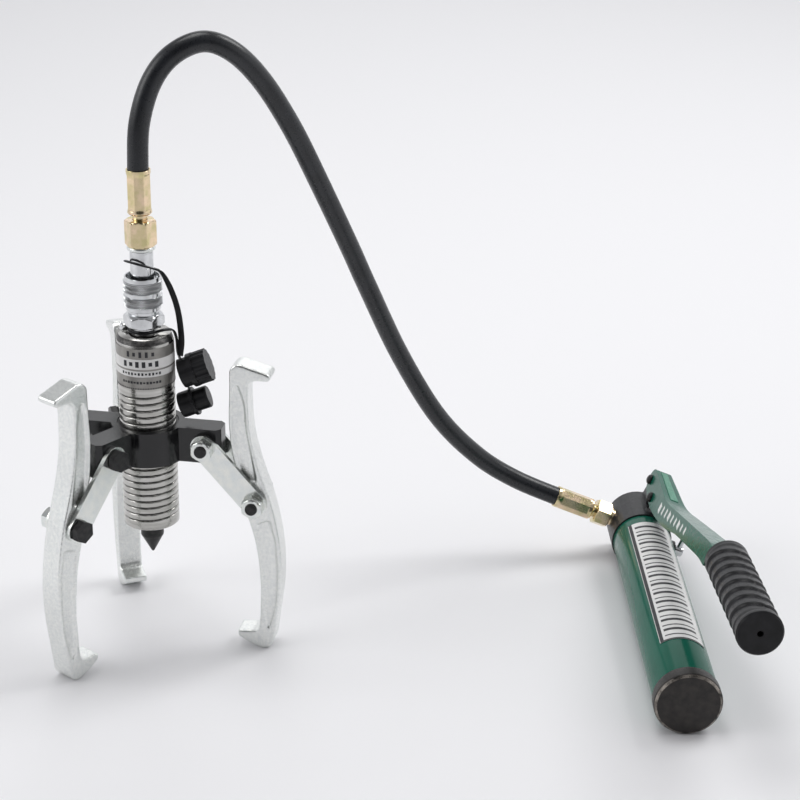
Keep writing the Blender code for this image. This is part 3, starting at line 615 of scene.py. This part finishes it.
def cylinder_label():
    """Printed sleeve: grey and white bands with plain dashes in place of words."""
    low, high = heights("cylinder_label")
    ring = [(LABEL_R, high), (LABEL_R, low), (LABEL_IN_R, low), (LABEL_IN_R, high)]
    place(turned("label_sleeve", ring, 96, 0), "label_grey", ROOT, PULLER, ["cylinder_label"])
    bands = [(LABEL_R, low + start, low + end, -180, 180, 0.12) for start, end in WHITE_BANDS]
    marks("label_white_bands", bands, "label_white", PULLER)
    dashes = []
    for above, count, tall, step, width in PRINT_ROWS:
        row = low + above
        for i in range(count):
            middle = LABEL_FRONT + (i - (count - 1) / 2) * step
            lift = 0.5 * tall * (i % 3 == 1)
            dashes.append((PRINT_R, row + lift * 0.4, row + tall - lift * 0.3, middle - width / 2,
                           middle + width / 2, 0.08))
    dashes += [(LABEL_R, low + 0.3, low + 1.5, 5 * i, 5 * i + 2.6, 0.12) for i in range(72)]
    marks("label_print", dashes, "ink", PULLER)


# ---- quick coupler ----
KNURLS, KNURL_PITCH, KNURL_DEPTH = 48, 2.0, 0.8
SLEEVE_R, SLEEVE_BORE_R = 16.3, 13.2
HEX_LOW, HEX_HIGH, HEX_FLATS = 293.0, 304.0, 30.0
NIPPLE_R, FLAT_R, FLAT_FROM, FLAT_TO = 9.75, 8.9, 345, 357.5
FLAT_TURN = math.radians(-42)  # where the nipple's spanner flats face


def knurl(bands):
    """Reach with diamond knurling between pairs of heights."""
    def reach(radius, height, angle):
        if radius < SLEEVE_R - 0.3 or not any(low < height < high for low, high in bands):
            return radius
        across = angle * KNURLS / (2 * math.pi)
        along = height / KNURL_PITCH
        ridges = [abs((across + lean * along) % 1.0 - 0.5) * 2 for lean in (1, -1)]
        return radius - KNURL_DEPTH * (1 - min(ridges))
    return reach


def coupler_core():
    """The coupler's body and its hexagon."""
    body = [(8.0, HEX_LOW - 6.2), (8.0, PORT_FLOOR + 0.3), (3.0, PORT_FLOOR + 0.3), (3.0, 306), (8.3, 306),
            (8.3, 328), (10.1, 328), (10.1, 332), (12.9, 332), (12.9, HEX_HIGH - 1), (9, HEX_HIGH - 1),
            (9, HEX_LOW + 1), (11.0, HEX_LOW + 1), (11.0, HEX_LOW - 6.2)]
    place(turned("coupler_core", body, 64, 0.3), "bright_plate", ROOT, PULLER, ["coupler_body"])
    nut = [(9.5, HEX_HIGH), *[(17.5, z) for z in levels(HEX_HIGH, HEX_LOW, 22)], (9.5, HEX_LOW)]
    shape = hexagonal(HEX_FLATS, [(HEX_HIGH, 14.2, 1.1), (HEX_LOW, 14.6, 1.4)], math.pi / 6)
    place(turned("coupler_hexagon", nut, 120, 0, reach=shape), "bright_plate", ROOT, PULLER)


def sleeve():
    """Sliding sleeve with two knurled bands."""
    low, high = heights("coupler_sleeve")
    bands = ((low + 4.2, low + 12.3), (low + 16.4, low + 24.8))
    outer = [(15.2, high), (15.4, 333.3), (SLEEVE_R, 332.9)]
    outer += [(SLEEVE_R, z) for z in levels(332.6, 323.9, 24)] + [(15.3, 323.3), (15.3, 320.4)]
    outer += [(SLEEVE_R, z) for z in levels(320.1, 311.6, 24)]
    outer += [(15.9, 311.2), (14.6, 310.9), (14.6, low + 0.3), (14.3, low), (SLEEVE_BORE_R, low),
              (SLEEVE_BORE_R, 333.0), (13.9, high)]
    knurled = turned("knurled_sleeve", outer, KNURLS * 6, 0, reach=knurl(bands))
    place(knurled, "bright_plate", "coupler_sleeve", PULLER, ["coupler_sleeve"])
    # faces deep in the knurl's valleys get painted shade, with some dirt
    grooves(knurled, "groove_shade_and_dirt", SLEEVE_R - 0.88, SLEEVE_R - 0.58)


def flats(radius, height, angle):
    """Two spanner flats near the top of the nipple."""
    turn = (angle - FLAT_TURN + math.pi / 2) % math.pi - math.pi / 2
    if radius < 9 or not FLAT_FROM < height < FLAT_TO or abs(turn) > math.radians(60):
        return radius
    return min(radius, FLAT_R / math.cos(turn))


def coupler():
    """Female half with its knurled sleeve, the hose's nipple in it, and the washer under it."""
    coupler_core()
    sleeve()
    stem = [(7.0, 376), (7.0, 358.7), (NIPPLE_R, 358.7), *[(NIPPLE_R, z) for z in levels(358.2, 344, 28)],
            (NIPPLE_R, 328.4), (8, 328.4), (8, 312), (3, 311), (3, 376)]
    place(turned("nipple", stem, 96, 0.25, reach=flats), "bright_plate", ROOT, PULLER, ["coupler_nipple"])
    low, high = heights("coupler_washer")
    ring = [(11.0, high), (11.8, high - 1.0), (11.8, low + 1.0), (11.0, low), (7.3, low), (7.3, high)]
    place(turned("bonded_washer", ring, 64, 0.5), "rolled_zinc", ROOT, PULLER, ["coupler_washer"])


# ---- hose and its ends ----
HOSE_R = 8.75
HOSE_ROUTE = [(0, 0, 397), (0, 0, 432), (2.5, 1.5, 466), (12.8, 6.6, 498), (30, 12, 519), (54, 19, 528),
              (77, 26, 518), (99, 37, 492), (121, 52, 451), (141, 70, 403), (168, 95, 334), (184, 108, 292),
              (214, 132, 217), (250, 150, 149), (288, 160, 105), (325, 164, 79)]
HOSE_END_X = (-84.0, -54.5)  # its last two points, straight out of the pump's port
PORT_Y = 324.5
CRIMP_FROM, CRIMP_TO, CRIMP_R = 12.5, 44.5, 9.35
CRIMP_TURN = math.radians(14)
PUMP_NUT_X, PUMP_FERRULE_X = -31.5, -39.5


def hose():
    """The hose, on the same route as its solid, from one ferrule to the other."""
    route = [PULLER @ (Vector(p) * MM) for p in HOSE_ROUTE]
    route += [PUMP @ (Vector((x, PORT_Y, 0)) * MM) for x in HOSE_END_X]
    curve = bpy.data.curves.new("hydraulic_hose", "CURVE")
    curve.dimensions = "3D"
    curve.bevel_depth = HOSE_R * MM
    curve.bevel_resolution = 10
    curve.use_fill_caps = True
    line = smooth(route, 10)
    spline = curve.splines.new("POLY")
    spline.points.add(len(line) - 1)
    for point, place_at in zip(spline.points, line):
        point.co = (*place_at, 1)
    spline.use_smooth = True
    obj = add("hydraulic_hose", curve)
    curve.materials.append(FINISHES["hose_rubber"])
    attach(obj, ROOT)
    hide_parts("hose")


def crimped(radius, height, angle):
    """Ferrule pressed flat by eight dies, with a narrow ridge left between them."""
    if radius < 10.0 or not CRIMP_FROM < height < CRIMP_TO:
        return radius
    turn = (angle + CRIMP_TURN) % (math.pi / 4) - math.pi / 8
    pressed = CRIMP_R / math.cos(turn)
    blend = min(1.0, (height - CRIMP_FROM) / 1.5, (CRIMP_TO - height) / 1.5)
    return radius + (min(radius, pressed) - radius) * blend


def hose_end(name, nut_node, ferrule_node, across_flats, nut_length, nut_at, ferrule_at):
    """Swivel nut and crimped ferrule; both matrices have the hose's way out as their Z."""
    shell = [(10.0, 47.5), *[(10.15, z) for z in levels(47.3, 11.2, 36)], (9.2, 10), (6, 10), (6, 0),
             (2.5, 0), (2.5, 13), (9.05, 13), (9.05, 47.5)]
    place(turned(f"{name}_ferrule", shell, 128, 0, reach=crimped), "yellow_zinc", ROOT, ferrule_at,
          [ferrule_node])
    corner = across_flats / 2 / math.cos(math.pi / 6)
    nut = [*[(corner, z) for z in levels(nut_length, 0, 30)], (7.3, 0), (7.3, nut_length - 6.5),
           (6.3, nut_length - 6.5), (6.3, nut_length)]
    edges = [(nut_length, across_flats / 2 - 0.1, 1.6), (0, across_flats / 2 + 0.2, 1.6)]
    shape = hexagonal(across_flats, edges, math.pi / 6)
    place(turned(f"{name}_nut", nut, 120, 0, reach=shape), "yellow_zinc", ROOT, nut_at, [nut_node])


def hose_ends():
    """Nuts and ferrules at both ends, and the adapter in the pump."""
    low, high = heights("hose_nut_puller")
    base = heights("hose_ferrule_puller")[0]
    lift = Matrix.Translation((0, 0, low * MM))
    hose_end("upper", "hose_nut_puller", "hose_ferrule_puller", 23.0, high - low, PULLER @ lift,
             PULLER @ Matrix.Translation((0, 0, base * MM)))
    outward = [axes(PUMP @ (Vector((x, PORT_Y, 0)) * MM), PUMP_Z, PUMP_Y, -PUMP_X)
               for x in (PUMP_NUT_X, PUMP_FERRULE_X, 0)]
    hose_end("lower", "hose_nut_pump", "hose_ferrule_pump", 22.0, 14.5, outward[0], outward[1])
    adapter = [(7.0, 39.0), (7.0, 31.4), (8.0, 31.1), (8.0, 20.0), (3.0, 20.0), (3.0, 39.0)]
    place(turned("port_adapter", adapter, 48, 0.3), "yellow_zinc", ROOT, outward[2], ["pump_adapter"])


# ---- yoke and arms ----
YOKE_R, YOKE_BORE_R = 31.5, 26.3
LUG_END, LUG_HALF, LUG_CHAMFER = 66.0, 10.7, 4.0
YOKE_PIVOT, JAW_PIVOT = (51.7, 190.7), (94.8, 141.3)  # radius, height
LINK_R, LINK_THICK = 11.0, 4.0
GAP = 0.3  # between pieces on one bolt
STACK = LUG_HALF + GAP + LINK_THICK
BOLT_R, BOLT_HOLE_R, BOLT_PAST = 5.0, 5.3, 11.5
NUT_FLATS, NUT_CORNER_R, NUT_FACE_R, NUT_SLOPE = 17.0, 9.9, 8.1, 1.7
NUT_THICK, BOLT_HEAD_THICK = 8.4, 6.4


def lug_turns():
    """Directions of the four lugs in degrees: the arms' own, and the one across from the first arm."""
    radials = [arm_axes(side).col[0] for side in ARMS]
    turns = [math.degrees(math.atan2(radial.y, radial.x)) % 360 for radial in radials]
    return sorted([*turns, turns[0] - 180])


def yoke():
    """Cast yoke with four lugs and softly broken edges."""
    low, high = heights("yoke")
    middle = (low + high) / 2
    turns = lug_turns()
    spread = math.degrees(math.asin(LUG_HALF / YOKE_R))
    outline = []
    for here, following in zip(turns, turns[1:] + [turns[0] + 360]):
        along = Vector((math.cos(math.radians(here)), math.sin(math.radians(here))))
        across = Vector((-along.y, along.x))
        for reach, side in ((LUG_END - LUG_CHAMFER, -LUG_HALF), (LUG_END, LUG_CHAMFER - LUG_HALF),
                            (LUG_END, LUG_HALF - LUG_CHAMFER), (LUG_END - LUG_CHAMFER, LUG_HALF)):
            outline.append(tuple(along * reach + across * side))
        steps = max(4, round((following - here) / 4))
        outline.extend(arc((0, 0), YOKE_R, here + spread, following - spread, steps))
    body = plate("cast_yoke", [outline, arc((0, 0), YOKE_BORE_R, 0, 355, 71)], high - low)
    pivot = Matrix.Translation((YOKE_PIVOT[0] * MM, 0, (YOKE_PIVOT[1] - middle) * MM))
    for turn in turns:
        at = Matrix.Rotation(math.radians(turn), 4, "Z") @ pivot @ Matrix.Rotation(math.pi / 2, 4, "X")
        body = drilled(body, BOLT_HOLE_R, 14, at)
    lift = Matrix.Translation((0, 0, middle * MM))
    place(bevelled(body, 0.9), "black_enamel", "yoke", PULLER @ lift, ["yoke"])


def jaw_outline():
    """Side of a jaw as radius and height."""
    seat = [(77.8, 15.4), (90.5, 16.2)] + arc((90.6, 23.0), 6.8, -70, -8, 6)
    inner = smooth([(98.2, 36), (98.7, 66), (94.8, 103), (84.8, 140), (77.3, 175), (73.6, 211),
                    (74.6, 246)], 6)
    crown = arc((83.2, 258.6), 8.6, 168, 62, 8)
    beak = [(106.4, 260.6)] + arc((106.6, 257.0), 3.2, 60, -88, 6)
    armpit = [(97.5, 253.4)] + arc((97.0, 246.6), 6.8, 100, 172, 6)
    outer = smooth([(89.9, 235), (91.6, 205), (98.0, 176), (109.3, 140), (116.2, 102), (117.0, 66),
                    (112.2, 26)], 6)
    heel = arc((99.8, 10.2), 10.2, -12, -100, 10)
    sole = [(85.5, 5.6)] + arc((81.3, 12.3), 3.6, 222, 168, 4)
    return seat + inner + crown + beak + armpit + outer + heel + sole


JAW_LOWER_WEB = [(95.2, 121), (98.0, 100), (101.1, 66), (100.9, 40), (103.0, 28), (105.6, 18), (109.2, 30),
                 (113.2, 48), (114.2, 78), (112.9, 104), (108.0, 126)]
JAW_UPPER_WEB = [(97.0, 161), (93.4, 182), (89.1, 206), (87.4, 232), (81.4, 251), (76.9, 241), (76.0, 211),
                 (79.4, 180), (83.4, 160)]
JAW_HALF, JAW_WEB_DEPTH = 10.7, 2.2


def bolt_hole(at=(0, 0)):
    """Outline of a bolt's hole."""
    return arc(at, BOLT_HOLE_R, 0, 345, 23)


def jaw_mesh():
    """Forged jaw with a shallow web between its rims, centred on its bolt."""
    hub = Vector(JAW_PIVOT)
    body = plate("jaw", [[tuple(Vector(p) - hub) for p in jaw_outline()], bolt_hole()], 2 * JAW_HALF)
    for web in (JAW_LOWER_WEB, JAW_UPPER_WEB):
        edge = rounded([tuple(Vector(p) - hub) for p in web], 3.0)
        for side in (-1, 1):
            cutter = plate("web", [edge], 2 * JAW_WEB_DEPTH)
            cutter.matrix_world = Matrix.Translation((0, 0, side * JAW_HALF * MM))
            body = combine(body, cutter, "DIFFERENCE")
    return forged(body, 1.0, 5)


def hexagon_nut(name, low, high, bore, both_ends=True):
    """Chamfered hexagon of the arms' bolts and nuts, with a bore if it has a radius."""
    rim = [(bore, high), *[(NUT_CORNER_R, z) for z in levels(high, low, 16)], (bore, low)]
    edges = [(edge, NUT_FACE_R, NUT_SLOPE) for edge in ((high, low) if both_ends else (high,))]
    return turned(name, rim, 72, 0, reach=hexagonal(NUT_FLATS, edges))


def link_outline():
    """Stadium from the yoke pivot, at 0, 0, to the jaw pivot."""
    reach = Vector(JAW_PIVOT) - Vector(YOKE_PIVOT)
    slope = math.degrees(math.atan2(reach.y, reach.x))
    outline = arc((0, 0), LINK_R, slope + 90, slope + 270, 24)
    outline += arc(tuple(reach), LINK_R, slope - 90, slope + 90, 24)
    return [outline, bolt_hole(), bolt_hole(tuple(reach))]


def arm(side, jaw_data):
    """A jaw, its two links and its bolts and nuts."""
    at_yoke, at_jaw = arm_axes(side, f"{side}_link_swing"), arm_axes(side, f"{side}_jaw_tilt")
    jaw = add(f"{side}_forged_jaw", jaw_data.copy())
    place(jaw, "forged_zinc", f"{side}_jaw", at_jaw, [f"{side}_jaw"])
    for where, sign in (("nut_side", 1), ("head_side", -1)):
        link = bevelled(plate(f"{side}_link_plate_{where}", link_outline(), LINK_THICK), 0.8)
        offset = Matrix.Translation((0, 0, sign * (STACK - LINK_THICK / 2) * MM))
        place(link, "rolled_zinc", f"{side}_links", at_yoke @ offset, [f"{side}_link_{where}"])
    head_at, nut_at, end = -STACK - GAP, STACK + GAP, STACK + BOLT_PAST
    for where, at, body in (("yoke", at_yoke, "yoke"), ("jaw", at_jaw, f"{side}_jaw_bolt")):
        shank = [(0, end), (BOLT_R - 0.8, end), (BOLT_R, end - 0.9), (BOLT_R, -STACK - 1), (0, -STACK - 1)]
        place(turned(f"{side}_{where}_bolt_shank", shank, 40, 0.25), "black_oxide", body, at,
              [f"{side}_{where}_bolt"])
        head = hexagon_nut(f"{side}_{where}_bolt_head", head_at - BOLT_HEAD_THICK, head_at, 0.0, False)
        place(head, "black_oxide", body, at)
        nut = hexagon_nut(f"{side}_{where}_hex_nut", nut_at, nut_at + NUT_THICK, BOLT_HOLE_R)
        place(nut, "rolled_zinc", body, at, [f"{side}_{where}_nut"])


def arms():
    """All three arms, from one jaw mesh."""
    jaw = jaw_mesh()
    for side in ARMS:
        arm(side, jaw.data)
    bpy.data.objects.remove(jaw, do_unlink=True)


# ---- hand pump ----
HEAD_R, TUBE_R, TUBE_WALL = 28.5, 27.2, 2.7
TUBE_FROM, TUBE_TO = 13.3, 293.7  # from the end cap's face
SPIGOT_R, SPIGOT_TO = 24.2, 27.0  # the end cap's part inside the tube
PLUNGER_Y, PIVOT_Y, PIVOT_Z, DRIVE_Z = 303.5, 330.5, 48.0, 41.5
HANDLE_HALF, HANDLE_WALL, HANDLE_FLARE = 7.9, 1.6, 0.0315  # at the pivot, and growth to the grip
HANDLE_EDGE, STRIP_WIDTH = 4.3, 6.2
PIN_R, PIN_HEAD_R, PIN_HOLE_R = 3.0, 4.8, 3.3
GRIP_FROM, GRIP_TO, GRIP_R, GRIP_BORE_R = (79.0, 99.0), (-56.0, 106.0), 18.5, 8.8
FILM_NEAR, FILM_FAR, FILM_FROM, FILM_TO = 61.0, 279.0, 62, 148  # along the tube, and degrees round it
FILM_THICK, BARS, BAR_PITCH, BAR_FROM, BAR_TO = 0.3, 26, 8.0, 76, 136
SIDE_BARS = 9


def pump_body():
    """Tube, end cap with its worn rim, head and label."""
    tube_in_r = TUBE_R - TUBE_WALL
    tube = [(TUBE_R, TUBE_TO), (TUBE_R, TUBE_FROM), (tube_in_r, TUBE_FROM), (tube_in_r, TUBE_TO)]
    place(turned("oil_tube", tube, 96, 0.5), "green_enamel", ROOT, PUMP_TURNED, ["pump_tube"])
    face = TUBE_FROM - 0.3
    cap = [(0, SPIGOT_TO), (SPIGOT_R, SPIGOT_TO), (SPIGOT_R, face), (HEAD_R, face), (HEAD_R, 2.7),
           (HEAD_R - 0.5, 2.0), (HEAD_R - 2.3, 0.25), (HEAD_R - 3.0, 0), (0, 0)]
    place(turned("end_cap", cap, 96, 0.4), "worn_black", ROOT, PUMP_TURNED, ["pump_end_cap"])
    rim = [(HEAD_R - 0.75, 1.85), (HEAD_R - 0.5, 1.6), (HEAD_R - 2.2, -0.05), (HEAD_R - 2.6, 0.1)]
    place(turned("end_cap_worn_rim", rim, 96, 0), "worn_edge", ROOT, PUMP_TURNED)
    keep("pump_head", "satin_black", 0.6)
    pump_label()


def pump_label():
    """Label along the tube: white film, dark border and plain bars in place of words."""
    film_at = axes(PUMP_AT, PUMP_X, PUMP_Z, -PUMP_Y)  # heights run from the head, below 0
    film_r = TUBE_R + 0.3
    ink_r = film_r + FILM_THICK
    film = (film_r, -FILM_FAR, -FILM_NEAR, FILM_FROM, FILM_TO, FILM_THICK)
    marks("label_film", [film], "label_white", film_at, ["pump_label"])
    bars = [(ink_r, -FILM_FAR, -FILM_NEAR, 140.5, 147, 0.05),
            (ink_r, -FILM_NEAR - 1.8, -FILM_NEAR, FILM_FROM, 140.5, 0.05),
            (ink_r, -FILM_FAR, -FILM_NEAR, 64.0, 64.7, 0.05)]
    for i in range(BARS):
        y = FILM_NEAR + 7 + BAR_PITCH * i
        thick = 3.6 if i % 2 else 1.6
        bars.append((ink_r, -y - thick, -y, BAR_FROM, BAR_TO, 0.06))
    marks("label_bars", bars, "ink", film_at)


def handle_outline():
    """Side of the handle as y and z."""
    root = arc((PIVOT_Y - 2.5, PIVOT_Z + 0.7), 11.2, -62, 88, 14)
    top = smooth([(300, 60.5), (262, 61.5), (240, 65.0), (214, 72.0), (150, 89.0), (98, 102.3),
                  (80.4, 104.8)], 4)
    under = smooth([(80.4, 86.5), (104, 82.8), (150, 71.0), (188, 61.0), (216, 51.0), (245, 43.4),
                    (285, 36.4), (318, 35.4)], 4)
    return root + top + under


def handle_half(y):
    """Half width of the handle, which flares towards the grip."""
    return HANDLE_HALF + HANDLE_FLARE * (PIVOT_Y - y)


def flare(obj):
    """Widen a piece of the handle, centred on its pivot, as the handle does."""
    for vertex in obj.data.vertices:
        vertex.co.z *= handle_half(PIVOT_Y + vertex.co.x / MM) / HANDLE_HALF
    return obj


def side_print(side_view):
    """Plain white bars on the handle's left side."""
    points, faces = [], []
    for i in range(SIDE_BARS):
        y, z = -69 - 12.0 * i, 2.8 + 3.15 * i
        tall, wide = 4.4 - 0.15 * i, 2.0 + 1.2 * (i % 3 == 0)
        first = len(points)
        for proud in (-0.15, 0.12):
            for along, across in ((-wide, -tall), (wide, -tall), (wide, tall), (-wide, tall)):
                out = handle_half(PIVOT_Y + y + along) + proud
                points.append((y + along, z + across + 0.2 * along, -out))
        faces += [tuple(first + corner for corner in face) for face in
                  ((0, 1, 2, 3), (7, 6, 5, 4), (0, 4, 5, 1), (1, 5, 6, 2), (2, 6, 7, 3), (3, 7, 4, 0))]
    place(mesh_of("side_print", points, faces), "label_white", "pump_handle", side_view)


def channel(side_view):
    """The handle's pressed channel, open below and at its root, with its pins' holes."""
    pivot = Vector((PIVOT_Y, PIVOT_Z))
    outline = [tuple(Vector(p) - pivot) for p in handle_outline()]
    body = bevelled(plate("channel_handle", [outline], 2 * HANDLE_HALF), HANDLE_EDGE, 6, 50)
    hollow = [(30, 8.1), (2.5, 8.6), (-2, 9.0), (-30, 9.6), (-68, 10.8), (-90, 14.2), (-117, 21.0),
              (-181, 38.0), (-226, 49.4), (-226, 20), (-150, -20), (-60, -40), (30, -40)]
    body = flare(combine(body, plate("hollow", [hollow], 2 * (HANDLE_HALF - HANDLE_WALL)), "DIFFERENCE"))
    for y, z in ((0, 0), (PLUNGER_Y - PIVOT_Y, DRIVE_Z - PIVOT_Z)):
        body = drilled(body, PIN_HOLE_R, 20, Matrix.Translation((y * MM, z * MM, 0)))
    place(crisp(body, 30), "green_enamel", "pump_handle", side_view, ["pump_handle"])


def handle_pin(name, node, y, z, body):
    """Pin with a domed head on both sides of the handle."""
    edge = handle_half(y - PIN_HEAD_R) + GAP
    half = [(0, edge + 3.6), (2.6, edge + 3.2), (PIN_HEAD_R - 0.4, edge + 2.0), (PIN_HEAD_R, edge + 0.6),
            (PIN_HEAD_R, edge), (PIN_R, edge)]
    pin = half + [(radius, -height) for radius, height in reversed(half)]
    at = axes(PUMP @ (Vector((0, y, z)) * MM), PUMP_Y, PUMP_Z, PUMP_X)
    place(turned(name, pin, 40, 0.4), "black_oxide", body, at, [node])


def pump_handle():
    """Channel handle with its raised strip, print, grip and pins, and the plunger under it."""
    side_view = axes(Vector(JOINTS["handle_stroke"]["pos_m"]), PUMP_Y, PUMP_Z, PUMP_X)
    channel(side_view)
    strip = [(-4, 11.2), (-30, 12.1), (-67, 13.1), (-67, 13.9), (-30, 13.1), (-4, 12.5)]
    raised = flare(bevelled(plate("raised_strip", [strip], STRIP_WIDTH), 0.25, 2))
    place(raised, "raised_green", "pump_handle", side_view)
    side_print(side_view)
    grip()
    handle_pin("pivot_pin", "handle_pivot_pin", PIVOT_Y, PIVOT_Z, ROOT)
    handle_pin("drive_pin", "handle_drive_pin", PLUNGER_Y, DRIVE_Z, "pump_handle")
    keep("pump_plunger", "bright_plate", 0.4)


GRIP_RIBS = 8
RIB_POINT, RIB_DEPTH, RIB_RISE = 20.0, 1.4, 1.9  # how far a rib's point leans, its groove, its height
RIB_STEEP = 0.86  # share of the pitch where a rib's steep side begins


def grip():
    """Rubber grip whose ribs point towards the handle along its top."""
    length = math.dist(GRIP_FROM, GRIP_TO)
    pitch = (length - 22) / GRIP_RIBS
    upward = math.radians(-90)  # the side of the grip that faces up

    def ribbed(radius, height, angle):
        """Overlapping ribs that bend into a point on the upper side."""
        if radius < 14 or height > length - 6 or height < 0.5:
            return radius
        turn = abs((angle - upward + math.pi) % (2 * math.pi) - math.pi) / math.pi
        shifted = height - 9 + RIB_POINT * (1 - math.hypot(turn, 0.08))
        phase = (shifted / pitch) % 1.0
        fade = min(1.0, max(0.0, (height - 7) / 4), max(0.0, (length - 8 - height) / 4))
        steep = 1 if phase < RIB_STEEP else (1 - phase) / (1 - RIB_STEEP)
        return radius + (RIB_RISE * phase ** 0.7 * steep - RIB_DEPTH) * fade
    outer = [(2.6, length), (GRIP_R - 0.8, length), (GRIP_R + 0.5, length - 1.4),
             (GRIP_R + 0.6, length - 4.5), *[(GRIP_R, z) for z in levels(length - 6, 6, 150)]]
    outer += [(GRIP_R - 0.2, 5), (GRIP_R + 0.1, 1.2), (GRIP_R - 0.9, 0), (GRIP_BORE_R, 0),
              (GRIP_BORE_R, length - 11), (2.6, length - 11)]
    along = (PUMP_Y * (GRIP_TO[0] - GRIP_FROM[0]) + PUMP_Z * (GRIP_TO[1] - GRIP_FROM[1])).normalized()
    at = axes(PUMP @ (Vector((0, *GRIP_FROM)) * MM), PUMP_X, along.cross(PUMP_X), along)
    skin = turned("ribbed_grip", outer, 96, 0, reach=ribbed)
    place(skin, "soft_rubber", "pump_handle", at, ["handle_grip"])


def release_valve():
    """Stem, collar and cross bar on the head's right side."""
    keep("release_valve_stem", "bright_plate", 0.3)
    keep("release_valve_bar", "bright_plate", 0.5)
    keep("release_valve_knob", "black_oxide", 0.4)


# ---- dust caps ----
RIBBON_SIDES, RIBBON_THICK = 12, 1.6
RIBBON_SQUARE = 0.6  # 1 would make its section an oval
EYELET_WIDTH, STRAP_WIDTH = 3.0, 6.0
EYELET_ARC = (20, 326, 36)  # from, to and steps, in degrees
TAIL_TURN = 0.35  # share of the tail in which it turns on edge


def ribbon(name, points, across, widths, node):
    """Flat strap along points, with its width at each of them along the given directions."""
    line = [Vector(p) for p in points]
    corners, faces = [], []
    for i, here in enumerate(line):
        ahead = (line[min(i + 1, len(line) - 1)] - line[max(i - 1, 0)]).normalized()
        side = Vector(across[i])
        side = (side - ahead * side.dot(ahead)).normalized()
        normal = ahead.cross(side)
        for t in range(RIBBON_SIDES):
            angle = 2 * math.pi * t / RIBBON_SIDES
            wide, tall = (abs(v) ** RIBBON_SQUARE * math.copysign(0.5, v)
                          for v in (math.cos(angle), math.sin(angle)))
            corners.append(here + side * wide * widths[i] + normal * tall * RIBBON_THICK)
    last = len(corners) - RIBBON_SIDES
    for first in range(0, last, RIBBON_SIDES):
        for t in range(RIBBON_SIDES):
            a, b = first + t, first + (t + 1) % RIBBON_SIDES
            faces.append((a, b, b + RIBBON_SIDES, a + RIBBON_SIDES))
    faces += [tuple(reversed(range(RIBBON_SIDES))), tuple(range(last, len(corners)))]
    obj = mesh_of(name, corners, faces)
    shade(obj, 50)
    place(obj, "soft_rubber", ROOT, PULLER, [node])


def strap(name, radius, height, tilt, tail, spread, node):
    """Eyelet lying flat round the coupler, and a tail that turns on edge and hangs down."""
    turns = [math.radians(t) for t in levels(*EYELET_ARC)]
    ring = [(radius * math.cos(t), radius * math.sin(t),
             height - tilt[0] * math.cos(t) - tilt[1] * math.sin(t)) for t in turns]
    line = smooth([ring[-1], *tail], 8)
    points = ring[:-1] + line
    across = [Vector((x, y, 0)) for x, y, _ in ring[:-1]]
    widths = [EYELET_WIDTH] * len(across)
    start = Vector((ring[-1][0], ring[-1][1], 0)).normalized()
    for i in range(len(line)):
        share = min(1.0, i / (TAIL_TURN * len(line)))
        across.append(start * (1 - share) + Vector(spread) * share)
        widths.append(EYELET_WIDTH + (STRAP_WIDTH - EYELET_WIDTH) * share)
    ribbon(name, points, across, widths, node)


def dust_covers():
    """Cap and plug of the coupler, each on its strap."""
    cap_tail = [(17.2, -5.4, 340.2), (24.2, -4.6, 325), (29.2, -4, 306), (31.2, -4, 282), (29.6, -4, 267.2)]
    plug_tail = [(18.5, -4.5, 290.3), (24.6, -3.2, 289.2), (27.0, -1.5, 280), (27.2, 2, 268),
                 (28.0, 10.5, 257), (28.6, 14.8, 246), (31.0, 14.8, 236), (37.2, 10.6, 227.4)]
    strap("cap_strap", 13.4, 345, (3.8, 5.0), cap_tail, (0.9, -0.45, 0), "dust_cap_strap")
    strap("plug_strap", 12.6, 289.2, (0.0, 0.0), plug_tail, (0.45, -0.9, 0), "dust_plug_strap")
    for node in ("dust_cap", "dust_plug"):
        keep(node, "soft_rubber", 0.45)


camera()
studio()
hose()
hose_ends()
cylinder()
coupler()
yoke()
arms()
pump_body()
pump_handle()
release_valve()
dust_covers()
